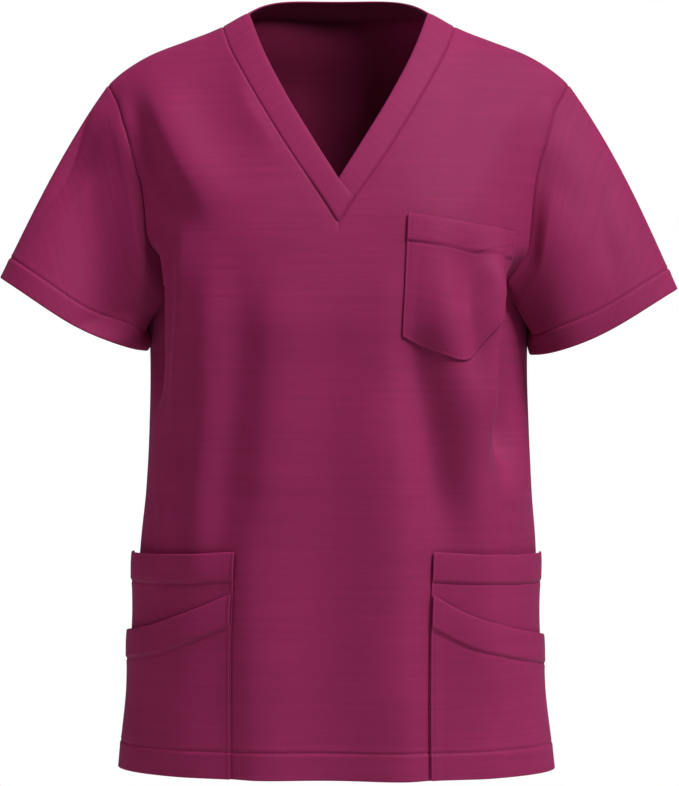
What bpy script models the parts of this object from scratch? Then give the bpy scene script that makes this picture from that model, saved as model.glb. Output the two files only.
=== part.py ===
"""Medical scrub top: V neck, short set-in sleeves, a pointed chest pocket and
two pairs of lower patch pockets.

The garment stands filled out and hollow. Metres, +Z up, the front faces -Y,
the wearer's left is +X. The origin is on the mid line, level with the point
where the shoulder seam meets the neckband.

Every piece of cloth is a thin wall. A panel is a grid of points on its middle
surface. The rows of the grid are horizontal sections below the underarm, and
tilt to the slope of the shoulder above it. Pieces meet edge to edge with a
small gap along each seam.
"""
import math

import bpy
import numpy as np

# ------------------------------------------------------------ dimensions
WALL = 0.0016              # thickness of the cloth wall
SEAM_GAP = 0.0003          # gap between two pieces at a seam
LAYER_GAP = 0.0005         # gap between a panel and a pocket that lies on it

HEM_Z = -0.645             # bottom edge, all round
UNDERARM_Z = -0.240        # where the side seam ends in the armhole
V_POINT_Z = -0.179         # lower end of the V seam
APEX_Z = -0.1393           # where the inner edges of the two front bands meet
BACK_NECK_DEPTH = 0.078    # how far back the seam of the back neckband lies
BACK_NECK_RISE = 0.0130    # and how high at the centre back
BACK_BAND_DEPTH = 0.060    # top edge of the back neckband, centre back
BACK_BAND_RISE = 0.0262
NECK_HALF = 0.1005         # half width of the neck at the shoulder seam
BAND_HALF = 0.0790         # half width inside the band at the shoulder seam

POCKET_INNER = 0.0830      # lower pockets' inner edge, from the centre front
PROUD_TALL = {1: 0.0008, -1: 0.0032}   # how far a pocket mouth stands off at
PROUD_SLANT = {1: 0.0010, -1: 0.0014}  # the side seam, on each side

# Sections below the underarm. squareness 2 is an ellipse, more is boxier.
BODY_SECTIONS = (
    # height, half_width, front,  back,   squareness
    (-0.645,  0.1862,     0.1090, 0.1120, 2.30),
    (-0.620,  0.1836,     0.1105, 0.1115, 2.32),
    (-0.575,  0.1782,     0.1135, 0.1090, 2.35),
    (-0.520,  0.1742,     0.1160, 0.1040, 2.35),
    (-0.450,  0.1708,     0.1180, 0.0980, 2.35),
    (-0.405,  0.1668,     0.1190, 0.0955, 2.35),
    (-0.350,  0.1642,     0.1210, 0.0965, 2.35),
    (-0.300,  0.1632,     0.1240, 0.1000, 2.35),
    (-0.265,  0.1638,     0.1250, 0.1030, 2.32),
    (-0.240,  0.1648,     0.1230, 0.1050, 2.30),
)
# Sections above it. rise is 0 at the underarm and 1 at the shoulder line. The
# depths are times sqrt(1 - rise), which rounds the cloth over the shoulder.
UPPER_SECTIONS = (
    # rise, half_width, front,  back,   squareness, arm_front, arm_back
    (0.00,  0.1648,     0.1230, 0.1050, 2.30,       0.1648,    0.1648),
    (0.06,  0.1672,     0.1240, 0.1085, 2.30,       0.1645,    0.1650),
    (0.14,  0.1705,     0.1255, 0.1130, 2.30,       0.1642,    0.1660),
    (0.26,  0.1745,     0.1280, 0.1205, 2.30,       0.1645,    0.1672),
    (0.42,  0.1795,     0.1295, 0.1335, 2.30,       0.1672,    0.1702),
    (0.60,  0.1868,     0.1280, 0.1480, 2.28,       0.1735,    0.1762),
    (0.80,  0.1960,     0.1220, 0.1590, 2.25,       0.1850,    0.1870),
    (0.92,  0.2010,     0.1150, 0.1550, 2.22,       0.1945,    0.1952),
    (1.00,  0.2040,     0.1100, 0.1400, 2.20,       0.2000,    0.2000),
)
# The shoulder line from the neck to the shoulder point and past it.
SHOULDER_LINE = (
    # out,   height
    (0.000,  0.0300),
    (0.050,  0.0200),
    (0.079,  0.0088),
    (0.096, -0.0007),
    (0.111, -0.0076),
    (0.130, -0.0148),
    (0.163, -0.0276),
    (0.184, -0.0400),
    (0.200, -0.0535),
    (0.215, -0.0740),
)
# The V seam: half of the opening's width at each height.
V_SEAM = (
    # height, half
    (-0.179,  0.0000),
    (-0.1584, 0.0128),
    (-0.127,  0.0345),
    (-0.090,  0.0575),
    (-0.050,  0.0803),
    (-0.020,  0.0950),
    (0.000,   0.1005),
    (0.030,   0.1005),
)
# The inner edge of the front bands.
V_INNER = (
    # height, half
    (-0.1393, 0.0000),
    (-0.1065, 0.0222),
    (-0.0668, 0.0455),
    (-0.0249, 0.0662),
    (0.0098,  0.0790),
)
# Top edges of the lower pockets, from the inner edge (0) to the side seam (1).
POCKET_TOPS = (
    # share, tall,   slant
    (0.00,  -0.4545, -0.4900),
    (0.20,  -0.4560, -0.5010),
    (0.45,  -0.4580, -0.5135),
    (0.75,  -0.4592, -0.5250),
    (1.00,  -0.4592, -0.5315),
)
# The chest pocket's outline, seen from the front.
CHEST_POCKET = {
    # corner: x, z
    "top_inner": (0.0577, -0.1728),
    "top_outer": (0.1470, -0.1850),
    "low_inner": (0.0535, -0.2732),
    "point": (0.1030, -0.2960),
    "low_outer": (0.1430, -0.2290),
}
# Cuffs. outer and inner are the ends of the flattened cuff, seen from the front.
SLEEVES = {
    # side: outer_x, outer_z, inner_x, inner_z, half_depth, sag, forward
    +1: (0.2930, -0.2312, 0.1672, -0.2868, 0.0530, 0.0082, -0.0080),
    -1: (0.2925, -0.2215, 0.1672, -0.2830, 0.0530, 0.0080, -0.0080),
}
# Below the underarm the top hangs turned a little, and to one side.
HANG = (
    # height, turn_degrees, shift
    (-0.645, -3.0,  -0.0016),
    (-0.590, -2.8,  -0.0020),
    (-0.535, -2.4,  -0.0022),
    (-0.450, -1.6,  -0.0003),
    (-0.370, -0.8,   0.0006),
    (-0.300, -0.2,   0.0002),
    (-0.245,  0.0,   0.0000),
)
# Soft folds of the body. across is measured round the cloth from the centre
# line of the panel named in on, + to the wearer's left; depth is + for a ridge
# and - for a trough; the fades are shares of the fold's length.
BODY_FOLDS = (
    # on, across_top, z_top, across_low, z_low, bend, half_width, depth, fade_top, fade_low
    ("front", 0.010, -0.300, 0.016, -0.700, 0.000, 0.036, -0.0150, 0.55, 0.05),
    ("front", -0.062, -0.195, -0.075, -0.560, 0.000, 0.020, -0.0070, 0.30, 0.45),
    ("front", -0.108, -0.210, -0.120, -0.520, 0.004, 0.018, -0.0045, 0.25, 0.50),
    ("front", -0.088, -0.200, -0.098, -0.500, 0.000, 0.013, 0.0050, 0.30, 0.50),
    ("front", 0.085, -0.270, 0.112, -0.520, 0.002, 0.022, -0.0070, 0.40, 0.30),
    ("front", 0.060, -0.330, 0.066, -0.600, 0.000, 0.020, 0.0050, 0.40, 0.40),
    ("front", -0.045, -0.300, -0.048, -0.640, 0.000, 0.026, 0.0050, 0.50, 0.20),
    ("front", 0.182, -0.235, 0.190, -0.370, 0.000, 0.014, -0.0060, 0.10, 0.55),
    ("front", -0.184, -0.235, -0.192, -0.400, 0.000, 0.014, -0.0060, 0.10, 0.55),
    ("back", 0.070, -0.180, 0.060, -0.700, 0.006, 0.030, -0.0080, 0.45, 0.05),
    ("back", -0.075, -0.200, -0.062, -0.700, -0.004, 0.028, -0.0070, 0.45, 0.05),
    ("back", 0.004, -0.260, 0.000, -0.700, 0.004, 0.026, 0.0060, 0.45, 0.05),
    ("back", 0.140, -0.230, 0.122, -0.560, 0.000, 0.020, -0.0045, 0.35, 0.40),
    ("back", -0.136, -0.240, -0.126, -0.600, 0.000, 0.022, -0.0050, 0.35, 0.40),
)

# Grid. The front's rise rows pass through the V point and the bands' crossing.
LOW_ROWS = 14
FRONT_COLUMNS = (0.0, 0.125, 0.25, 0.375, 0.48, 0.58, 0.67, 0.75, 0.825, 0.89, 0.95, 1.0)
POCKET_COLUMN = 3
BACK_COLUMNS = (0.0, 0.08, 0.16, 0.245, 0.33, 0.42, 0.51, 0.60, 0.685, 0.765, 0.84, 0.905, 0.955, 1.0)
BACK_NECK_COLUMN = 5
SLEEVE_STEPS = (0.0, 0.13, 0.27, 0.42, 0.57, 0.72, 0.87, 1.0)

COLOURS = {
    # piece: red, green, blue, roughness
    "body": (0.245, 0.026, 0.085, 0.62),
    "trim": (0.255, 0.029, 0.092, 0.58),
    "pocket": (0.250, 0.028, 0.089, 0.60),
}


# ------------------------------------------------------------ curves
def curve(xs, ys):
    """A smooth curve through points that never overshoots them."""
    xs, ys = np.asarray(xs, float), np.asarray(ys, float)
    h, d = np.diff(xs), np.diff(ys) / np.diff(xs)
    m = np.empty(len(xs))
    m[0], m[-1] = d[0], d[-1]
    for i in range(1, len(xs) - 1):
        if d[i - 1] * d[i] <= 0:
            m[i] = 0.0
        else:
            a, b = 2 * h[i] + h[i - 1], h[i] + 2 * h[i - 1]
            m[i] = (a + b) / (a / d[i - 1] + b / d[i])

    def at(x):
        x = np.clip(np.asarray(x, float), xs[0], xs[-1])
        k = np.clip(np.searchsorted(xs, x, side="right") - 1, 0, len(xs) - 2)
        t = (x - xs[k]) / h[k]
        return (
            ys[k] * (2 * t**3 - 3 * t**2 + 1)
            + m[k] * h[k] * (t**3 - 2 * t**2 + t)
            + ys[k + 1] * (3 * t**2 - 2 * t**3)
            + m[k + 1] * h[k] * (t**3 - t**2)
        )

    return at


def columns_of(table):
    rows = list(zip(*table))
    return [curve(rows[0], r) for r in rows[1:]]


def step(x):
    x = np.clip(x, 0.0, 1.0)
    return x * x * (3 - 2 * x)


low_half, low_front, low_back, low_square = columns_of(BODY_SECTIONS)
up_half, up_front, up_back, up_square, arm_front, arm_back = columns_of(UPPER_SECTIONS)
(shoulder_z,) = columns_of(SHOULDER_LINE)
(v_half,) = columns_of(V_SEAM)
(v_inner,) = columns_of(V_INNER)
tall_top, slant_top = columns_of(POCKET_TOPS)
hang_turn, hang_shift = columns_of(HANG)
V_RISE = (V_POINT_Z - UNDERARM_Z) / (float(shoulder_z(0.0)) - UNDERARM_Z)


# ------------------------------------------------------------ body surface
def back_neck_y(x):
    q = np.clip(np.abs(x) / NECK_HALF, 0, 1)
    return BACK_NECK_DEPTH * np.maximum(1 - q**2.2, 0) ** 0.62


def back_top_z(x):
    """The top of the back: the neck seam, then the shoulder line."""
    q = np.clip(np.abs(x) / NECK_HALF, 0, 1)
    neck = float(shoulder_z(NECK_HALF)) + (BACK_NECK_RISE - float(shoulder_z(NECK_HALF))) * step(
        back_neck_y(x) / (0.85 * BACK_NECK_DEPTH)
    )
    return np.where(q < 1, neck, shoulder_z(np.abs(x)))


def section(back, level):
    """Half a section, centre to side seam or armhole. level runs from -1 at
    the hem to 0 at the underarm, and to 1 at the shoulder line."""
    if level <= 0:
        z = UNDERARM_Z + (UNDERARM_Z - HEM_Z) * level
        half, n = float(low_half(z)), float(low_square(z))
        deep, stop = float((low_back if back else low_front)(z)), half
    else:
        half, n = float(up_half(level)), float(up_square(level))
        deep = float((up_back if back else up_front)(level)) * math.sqrt(max(1 - level, 0))
        stop = float((arm_back if back else arm_front)(level))
    last = math.asin(min(1.0, (stop / half) ** (n / 2)))
    turn = np.linspace(0, last, 241)
    x = half * np.sin(turn) ** (2 / n)
    y = deep * np.clip(np.cos(turn), 0, 1) ** (2 / n)
    if level <= 0:
        zz = np.full_like(x, z)
    elif back:
        y = (back_neck_y(x) ** 3 * level**2 + y**3) ** (1 / 3)  # the neck's curve fades out downwards
        zz = UNDERARM_Z + (back_top_z(x) - UNDERARM_Z) * level
    else:
        zz = UNDERARM_Z + (shoulder_z(x) - UNDERARM_Z) * level
    return x, (y if back else -y), zz


def inner_edge(level):
    """Distance of the front's inner edge from the middle: 0 up to the V."""
    if level <= V_RISE:
        return 0.0
    half = 0.05
    for _ in range(40):
        z = UNDERARM_Z + (float(shoulder_z(half)) - UNDERARM_Z) * level
        half = 0.5 * half + 0.5 * float(v_half(z))
    return half


def row(back, level, side, shares):
    """Points of one grid row at the given shares of its length, with how far
    each lies round the cloth from the centre line."""
    x, y, z = section(back, level)
    run = np.concatenate([[0], np.cumsum(np.sqrt(np.diff(x) ** 2 + np.diff(y) ** 2 + np.diff(z) ** 2))])
    start = 0.0
    if not back:
        edge = inner_edge(level)
        start = float(np.interp(edge, x, run))
    at = start + (run[-1] - start) * np.asarray(shares)
    pts = np.stack([side * np.interp(at, run, x), np.interp(at, run, y), np.interp(at, run, z)], -1)
    return pts, side * at, run[-1]


def shares_for(back, level, columns):
    """Grid columns as shares of the row. The front has one column along the
    lower pockets' inner edge; the back has one that ends at the neck."""
    c = np.asarray(columns, float)
    x, y, z = section(back, level)
    run = float(np.sum(np.sqrt(np.diff(x) ** 2 + np.diff(y) ** 2 + np.diff(z) ** 2)))
    if not back:
        knot = FRONT_COLUMNS[POCKET_COLUMN]
        want = POCKET_INNER / run if level <= 0 else knot
        blend = float(step(-level / 0.3)) if level < 0 else 0.0
        place = knot + (want - knot) * blend
    else:
        knot = BACK_COLUMNS[BACK_NECK_COLUMN]
        steps = np.concatenate([[0], np.cumsum(np.sqrt(np.diff(x) ** 2 + np.diff(y) ** 2 + np.diff(z) ** 2))])
        want = float(np.interp(NECK_HALF, x, steps)) / run if level > 0 else knot
        place = knot + (want - knot) * float(step((level - 0.3) / 0.6))
    return np.where(c <= knot, c / knot * place, place + (c - knot) / (1 - knot) * (1 - place))


def fold_height(back, around, z, lengths):
    """Height of the folds at points given by their distance round the cloth."""
    own, other = lengths
    total = np.zeros_like(around)
    for on, top, z_top, low, z_low, bend, width, depth, fade_top, fade_low in BODY_FOLDS:
        here = around
        if (on == "back") != back:  # the same place, measured from the other panel's centre
            here = np.sign(around) * (other + own - np.abs(around))
        s = (z_top - z) / (z_top - z_low)
        middle = top + (low - top) * s + bend * 4 * s * (1 - s)
        along = step(s / fade_top) * step((1 - s) / fade_low)
        total += depth * along * np.exp(-(((here - middle) / width) ** 2))
    return total


def panel_row(back, level, side, columns):
    """One row of a panel with its folds, on the grid's columns."""
    return cloth_row(back, level, side, shares_for(back, level, columns))[0]


def cloth_row(back, level, side, shares):
    """Points of the folded surface at shares of a row, and their normals."""
    pts, around, own = row(back, level, side, shares)
    _, _, other = row(not back, level, side, [0.0])
    near = 1e-3
    lv = min(level, 0.96)
    base, _, _ = row(back, lv, side, shares)
    up, _, _ = row(back, lv + near, side, shares)
    out, _, _ = row(back, lv, side, np.clip(shares + near, 0, 1))
    inn, _, _ = row(back, lv, side, np.clip(shares - near, 0, 1))
    normal = np.cross(out - inn, up - base) * (side * (-1 if back else 1))
    normal /= np.linalg.norm(normal, axis=1)[:, None]
    height = fold_height(back, around, pts[:, 2], (own, other))
    if level > 0:  # folds die out before the armhole and the neck
        rest = (1 - shares) * own
        height *= step(rest / 0.045) * float(step((1 - level) / 0.25))
    return pts + normal * height[:, None], normal


# ------------------------------------------------------------ cloth walls
class Cloth:
    """A piece of cloth: named points on its middle surface, and its faces."""

    def __init__(self, name, finish):
        self.name, self.finish = name, finish
        self.points, self.faces = {}, []

    def grid(self, keys):
        for a, b in zip(keys, keys[1:]):
            for i in range(len(a) - 1):
                q = (a[i], a[i + 1], b[i + 1], b[i])
                if len(set(q)) == 4:
                    self.faces.append(q)
                elif len(set(q)) == 3:
                    self.faces.append(tuple(dict.fromkeys(q)))

    def normals(self):
        total = {k: np.zeros(3) for k in self.points}
        for f in self.faces:
            p = [self.points[k] for k in f]
            n = np.cross(p[2] - p[0], p[-1] - p[1])
            if len(f) == 3:
                n = np.cross(p[1] - p[0], p[2] - p[0])
            n = n / (np.linalg.norm(n) + 1e-12)
            for k in f:
                total[k] += n
        return {k: v / (np.linalg.norm(v) + 1e-12) for k, v in total.items()}

    def edges(self):
        """The open edges, in the direction of their face."""
        seen = {}
        for f in self.faces:
            for a, b in zip(f, f[1:] + f[:1]):
                seen[(a, b)] = True
        return [e for e in seen if (e[1], e[0]) not in seen]


def spot(p):
    return tuple(int(round(v * 2e5)) for v in p)


def wall(cloths):
    """Turns the pieces into walls. Where pieces share a seam, they share the
    direction across the wall there, so their ends stay parallel."""
    raw = {c.name: c.normals() for c in cloths}
    shared = {}
    for c in cloths:
        on_edge = {k for e in c.edges() for k in e}
        for k in on_edge:
            shared.setdefault(spot(c.points[k]), []).append(raw[c.name][k])
    for c in cloths:
        normals = raw[c.name]
        edges = c.edges()
        after, before = dict(edges), {b: a for a, b in edges}
        inward = {k: np.zeros(3) for e in edges for k in e}
        for f in c.faces:
            middle = sum(c.points[k] for k in f) / len(f)
            for k in f:
                if k in inward:
                    d = middle - c.points[k]
                    inward[k] += d / np.linalg.norm(d)
        centre, across = {}, {}
        for k, p in c.points.items():
            n = normals[k]
            if k in inward:
                all_n = sum(shared[spot(p)])
                if np.linalg.norm(all_n) > 0.2:
                    common = all_n / np.linalg.norm(all_n)
                else:
                    common = n
                if abs(p[1]) < 1e-6:  # side and shoulder seams lie in one plane
                    flat = common * (1, 0, 1)
                    common = flat / np.linalg.norm(flat)
                along = c.points[after[k]] - c.points[before[k]]
                if abs(p[1]) < 1e-6:
                    inward[k] = inward[k] * (0, 1, 0) if abs(along[1]) < 1e-6 else inward[k]
                along = along / (np.linalg.norm(along) + 1e-12)
                back_off = inward[k] - along * np.dot(inward[k], along) - common * np.dot(inward[k], common)
                back_off = back_off / (np.linalg.norm(back_off) + 1e-12)
                reach = 1 / max(0.6, abs(float(np.dot(common, n))))
                centre[k] = p + back_off * (SEAM_GAP / 2) * reach
                across[k] = common * min(reach, 1.5)
            else:
                centre[k], across[k] = p, n
        c.solid = solid_of(c, centre, across, edges)


def hang(p):
    """The part below the underarm turns a little about the vertical."""
    turn = math.radians(float(hang_turn(p[2])))
    x = p[0] * math.cos(turn) - p[1] * math.sin(turn) + float(hang_shift(p[2]))
    return np.array([x, p[0] * math.sin(turn) + p[1] * math.cos(turn), p[2]])


def solid_of(c, centre, across, edges):
    names = list(c.points)
    number = {k: i for i, k in enumerate(names)}
    outer = [centre[k] + across[k] * (WALL / 2) for k in names]
    inner = [centre[k] - across[k] * (WALL / 2) for k in names]
    count = len(names)
    hung = [p if c.name.startswith("sleeve") else hang(p) for p in outer + inner]
    verts = [tuple(float(v) for v in p) for p in hung]
    faces = []
    for f in c.faces:
        ids = [number[k] for k in f]
        tris = [ids] if len(ids) == 3 else [[ids[0], ids[1], ids[2]], [ids[0], ids[2], ids[3]]]
        for t in tris:
            faces.append(tuple(t))
            faces.append(tuple(count + i for i in reversed(t)))
    for a, b in edges:  # both sides of a seam split the end of the wall alike
        i, j = number[a], number[b]
        if spot(c.points[a]) < spot(c.points[b]):
            faces.append((j, i, count + j))
            faces.append((i, count + i, count + j))
        else:
            faces.append((j, i, count + i))
            faces.append((j, count + i, count + j))
    return verts, faces


def material(kind):
    found = bpy.data.materials.get("scrub_" + kind)
    if found:
        return found
    red, green, blue, rough = COLOURS[kind]
    m = bpy.data.materials.new("scrub_" + kind)
    m.use_nodes = True
    shader = m.node_tree.nodes["Principled BSDF"]
    shader.inputs["Base Color"].default_value = (red, green, blue, 1)
    shader.inputs["Roughness"].default_value = rough
    shader.inputs["Metallic"].default_value = 0.0
    return m


def make_object(c):
    verts, faces = c.solid
    mesh = bpy.data.meshes.new(c.name)
    mesh.from_pydata(verts, [], faces)
    mesh.validate()
    mesh.materials.append(material(c.finish))
    ob = bpy.data.objects.new(c.name, mesh)
    bpy.context.scene.collection.objects.link(ob)
    return ob


# ------------------------------------------------------------ body panels
def rise_of(z, x):
    return (z - UNDERARM_Z) / (float(shoulder_z(x)) - UNDERARM_Z)


CROSS_Z = -0.1584  # height of the outer corner where the two neckbands cross
LEVELS = (
    [-1 + i / LOW_ROWS for i in range(LOW_ROWS)]
    + [0.0, 0.014, 0.05, 0.125, V_RISE, rise_of(CROSS_Z, 0.0128), 0.405, 0.51, 0.62, 0.73, 0.83, 0.91, 0.965, 1.0]
)
V_ROW = LOW_ROWS + 4
CROSS_ROW = LOW_ROWS + 5


def front_panel():
    c = Cloth("body_front", "body")
    for side in (-1, 1):
        for j, level in enumerate(LEVELS):
            pts = panel_row(False, level, side, FRONT_COLUMNS)
            for i, p in enumerate(pts):
                k = (0 if i == 0 and j <= V_ROW else side, i, j)
                c.points[k] = p
        keys = [
            [(0 if i == 0 and j <= V_ROW else side, i, j) for i in range(len(FRONT_COLUMNS))]
            for j in range(len(LEVELS))
        ]
        if side < 0:
            keys = [list(reversed(r)) for r in keys]
        c.grid(keys)
    return c


def back_panel():
    c = Cloth("body_back", "body")
    for side in (-1, 1):
        for j, level in enumerate(LEVELS):
            pts = panel_row(True, level, side, BACK_COLUMNS)
            for i, p in enumerate(pts):
                c.points[(0 if i == 0 else side, i, j)] = p
        keys = [[(0 if i == 0 else side, i, j) for i in range(len(BACK_COLUMNS))] for j in range(len(LEVELS))]
        if side > 0:
            keys = [list(reversed(r)) for r in keys]
        c.grid(keys)
    return c


# ------------------------------------------------------------ sleeves
def sleeve_surface(front, back, side, steps):
    """Rings from the armhole to the cuff. front and back hold the armhole's
    points from the underarm up to the shoulder point."""
    outer_x, outer_z, inner_x, inner_z, deep, sag, forward = SLEEVES[side]
    ring = list(front[::-1]) + list(back[1:-1])
    n = len(front) - 1
    outer = np.array([outer_x * side, forward, outer_z])
    inner = np.array([inner_x * side, forward * 0.4, inner_z])
    centre, wide = (outer + inner) / 2, (outer - inner) / 2
    down = np.cross(wide, (0, 1, 0)) * -side
    down = down / np.linalg.norm(down)
    if down[2] > 0:
        down = -down
    rows = []
    turns = []
    for k in range(len(ring)):
        turn = math.pi * k / n  # 0 at the shoulder point, pi at the underarm
        turns.append(turn)
    for t in steps:
        pts = []
        for p, turn in zip(ring, turns):
            cosine, sine = math.cos(turn), math.sin(turn)
            low_side = sine**2 * (1 - 0.70 * cosine)
            cuff = centre + wide * cosine + np.array([0, -deep, 0]) * sine + down * sag * low_side
            top, mid, low = max(cosine, 0) ** 1.5, abs(sine), max(-cosine, 0) ** 1.5
            start = (
                top * np.array([0.58 * side, 0, -0.82])
                + mid * np.array([0.80 * side, -0.10 * np.sign(sine), -0.60])
                + low * np.array([0.92 * side, 0, -0.50])
            )
            start = start / np.linalg.norm(start)
            length = np.linalg.norm(cuff - p)
            h = (2 * t**3 - 3 * t**2 + 1, t**3 - 2 * t**2 + t, 3 * t**2 - 2 * t**3, t**3 - t**2)
            pts.append(p * h[0] + start * length * h[1] + cuff * h[2] + down * length * h[3])
        rows.append(pts)
    return rows


def sleeve(name, side, front, back):
    c = Cloth(name, "body")
    first = LOW_ROWS
    f = [front.points[(side, len(FRONT_COLUMNS) - 1, j)] for j in range(first, len(LEVELS))]
    b = [back.points[(side, len(BACK_COLUMNS) - 1, j)] for j in range(first, len(LEVELS))]
    rows = sleeve_surface(f, b, side, SLEEVE_STEPS)
    keys = []
    for j, pts in enumerate(rows):
        for i, p in enumerate(pts):
            c.points[(i, j)] = np.array(p)
        keys.append([(i, j) for i in range(len(pts))] + [(0, j)])
    if side < 0:
        keys = [list(reversed(r)) for r in keys]
    c.grid(keys)
    return c


# ------------------------------------------------------------ neckbands
def front_y(x, z):
    """Depth of the front's surface over a point seen from the front."""
    x = abs(x)
    level = rise_of(z, x)
    level = min(max(level, 0.0), 1.0)
    half, n = float(up_half(level)), float(up_square(level))
    deep = float(up_front(level)) * math.sqrt(max(1 - level, 0))
    return -deep * max(1 - (x / half) ** n, 0) ** (1 / n)


def polyline(points, share):
    """The point at a share of the way along a line of points."""
    points = np.asarray(points, float)
    run = np.concatenate([[0], np.cumsum(np.linalg.norm(np.diff(points, axis=0), axis=1))])
    at = run[-1] * share
    return np.array([np.interp(at, run, points[:, k]) for k in range(points.shape[1])])


def band_front(name, side, front):
    """A folded band along one side of the V. The wearer's right band is on
    top, so it runs on past the crossing to the other seam."""
    c = Cloth(name, "trim")
    on_top = side < 0
    cross = front.points[(1, 0, CROSS_ROW)]
    apex = np.array([0.0, front_y(0.0, APEX_Z), APEX_Z])
    rows = list(range(CROSS_ROW, len(LEVELS)))
    seam = [front.points[(side, 0, j)] for j in rows]
    run = np.concatenate([[0], np.cumsum([np.linalg.norm(b - a) for a, b in zip(seam, seam[1:])])])
    heights = np.linspace(APEX_Z, float(shoulder_z(BAND_HALF)), 60)
    edge = []
    for z in heights:
        x = side * float(v_inner(z))
        edge.append((x, front_y(x, z), z))
    edge[-1] = (edge[-1][0], 0.0, edge[-1][2])
    ends = [polyline(edge, r / run[-1]) for r in run]
    ends[0] = apex
    if on_top:
        seam.insert(0, front.points[(0, 0, V_ROW)])
        ends.insert(0, cross)
    keys = []
    for r, (p, end) in enumerate(zip(seam, ends)):
        line = []
        for i in range(4):
            q = i / 3
            m = p * (1 - q) + end * q
            if 0 < i < 3 and 0 < r < len(seam) - 1:
                m[1] = front_y(m[0], m[2])
            c.points[(i, r)] = m
            line.append((i, r))
        keys.append(line)
    if side > 0:
        keys = [list(reversed(r)) for r in keys]
    c.grid(keys)
    return c


def band_back(back):
    c = Cloth("neckband_back", "trim")
    top_row = len(LEVELS) - 1
    seam = [(side, i) for side in (-1,) for i in range(BACK_NECK_COLUMN, 0, -1)] + [(0, 0)] + [
        (1, i) for i in range(1, BACK_NECK_COLUMN + 1)
    ]
    keys = []
    for side, i in seam:
        p = back.points[(side, i, top_row)]
        q = min(abs(p[0]) / NECK_HALF, 1.0)
        angle = math.asin(q)
        y = BACK_BAND_DEPTH * math.cos(angle) ** 0.9 if i < BACK_NECK_COLUMN else 0.0
        low = float(shoulder_z(BAND_HALF))
        top = np.array([
            BAND_HALF * math.sin(angle) * side,
            y,
            low + (BACK_BAND_RISE - low) * float(step(y / BACK_BAND_DEPTH)),
        ])
        line = []
        for r in range(4):
            t = r / 3
            m = p * (1 - t) + top * t
            bow = 0.0012 * math.sin(math.pi * t) * math.cos(angle)
            m = m + np.array([p[0], p[1], 0.0]) / (np.linalg.norm(p[:2]) + 1e-9) * bow
            if i == BACK_NECK_COLUMN:
                m[1] = 0.0
            c.points[(side, i, r)] = m
            line.append((side, i, r))
        keys.append(line)
    c.grid(keys)
    return c


# ------------------------------------------------------------ pockets
def level_of(z, x=0.0):
    if z <= UNDERARM_Z:
        return (z - UNDERARM_Z) / (UNDERARM_Z - HEM_Z)
    return rise_of(z, x)


def lower_pocket(name, side, layer, front):
    """A patch on the front's own points, from the pocket column to the side
    seam, moved out by one wall for each layer under it."""
    c = Cloth(name, "pocket")
    tops, proud = (tall_top, PROUD_TALL) if layer == 1 else (slant_top, PROUD_SLANT)
    first = POCKET_COLUMN
    columns = FRONT_COLUMNS[first:]
    normals = front.normals()
    heights = [UNDERARM_Z + (UNDERARM_Z - HEM_Z) * level for level in LEVELS[: LOW_ROWS + 1]]
    lowest = float(tops(1.0)) - 0.010
    below = [j for j in range(LOW_ROWS, -1, -1) if heights[j] < lowest]
    extra = 1 if layer == 1 else 3
    lift = layer * (WALL + LAYER_GAP)
    keys = []
    for r in range(extra + len(below)):
        line = []
        for i, column in enumerate(columns):
            share = (column - columns[0]) / (1 - columns[0])
            top = float(tops(share))
            z = top + (heights[below[0]] - top) * r / extra if r < extra else heights[below[r - extra]]
            z = max(z, HEM_Z + 0.0006)
            j = int(np.clip((z - HEM_Z) / (UNDERARM_Z - HEM_Z) * LOW_ROWS, 0, LOW_ROWS - 1))
            t = (z - heights[j]) / (heights[j + 1] - heights[j])
            a, b = (side, first + i, j), (side, first + i, j + 1)
            p = front.points[a] * (1 - t) + front.points[b] * t
            n = normals[a] * (1 - t) + normals[b] * t
            down = (top - z) / (top - HEM_Z)
            off = lift + proud[side] * share**1.5 * (1 - down) ** 2
            p = p + n / np.linalg.norm(n) * off
            if i == len(columns) - 1:
                p[1] = 0.0
            c.points[(i, r)] = p
            line.append((i, r))
        keys.append(line)
    if side > 0:
        keys = [list(reversed(k)) for k in keys]
    c.grid(keys)
    return c


def front_spot(x, z):
    """The folded front surface over a point seen from the front, and its
    normal."""
    level = level_of(z, abs(x))
    xs, ys, zs = section(False, level)
    run = np.concatenate([[0], np.cumsum(np.sqrt(np.diff(xs) ** 2 + np.diff(ys) ** 2 + np.diff(zs) ** 2))])
    side = 1 if x >= 0 else -1
    start = float(np.interp(inner_edge(level), xs, run))
    share = (float(np.interp(abs(x), xs, run)) - start) / (run[-1] - start)
    pts, normals = cloth_row(False, level, side, np.array([share]))
    return pts[0], normals[0]


def chest_pocket():
    c = Cloth("chest_pocket", "pocket")
    k = CHEST_POCKET
    across, down = 8, 8
    lower = [k["low_inner"], k["point"], k["low_outer"]]
    keys = []
    for r in range(down + 1):
        line = []
        for i in range(across + 1):
            u, v = i / across, r / down
            top = np.array(k["top_inner"]) * (1 - u) + np.array(k["top_outer"]) * u
            low = (
                np.array(lower[0]) * (1 - u / 0.5) + np.array(lower[1]) * (u / 0.5)
                if u <= 0.5
                else np.array(lower[1]) * (2 - u / 0.5) + np.array(lower[2]) * (u / 0.5 - 1)
            )
            x, z = top * (1 - v) + low * v
            p, n = front_spot(float(x), float(z))
            c.points[(i, r)] = p + n * (WALL + 2 * LAYER_GAP)
            line.append((i, r))
        keys.append(line[::-1])
    c.grid(keys)
    return c


# ------------------------------------------------------------ assembly
for ob in list(bpy.data.objects):
    bpy.data.objects.remove(ob, do_unlink=True)

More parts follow.
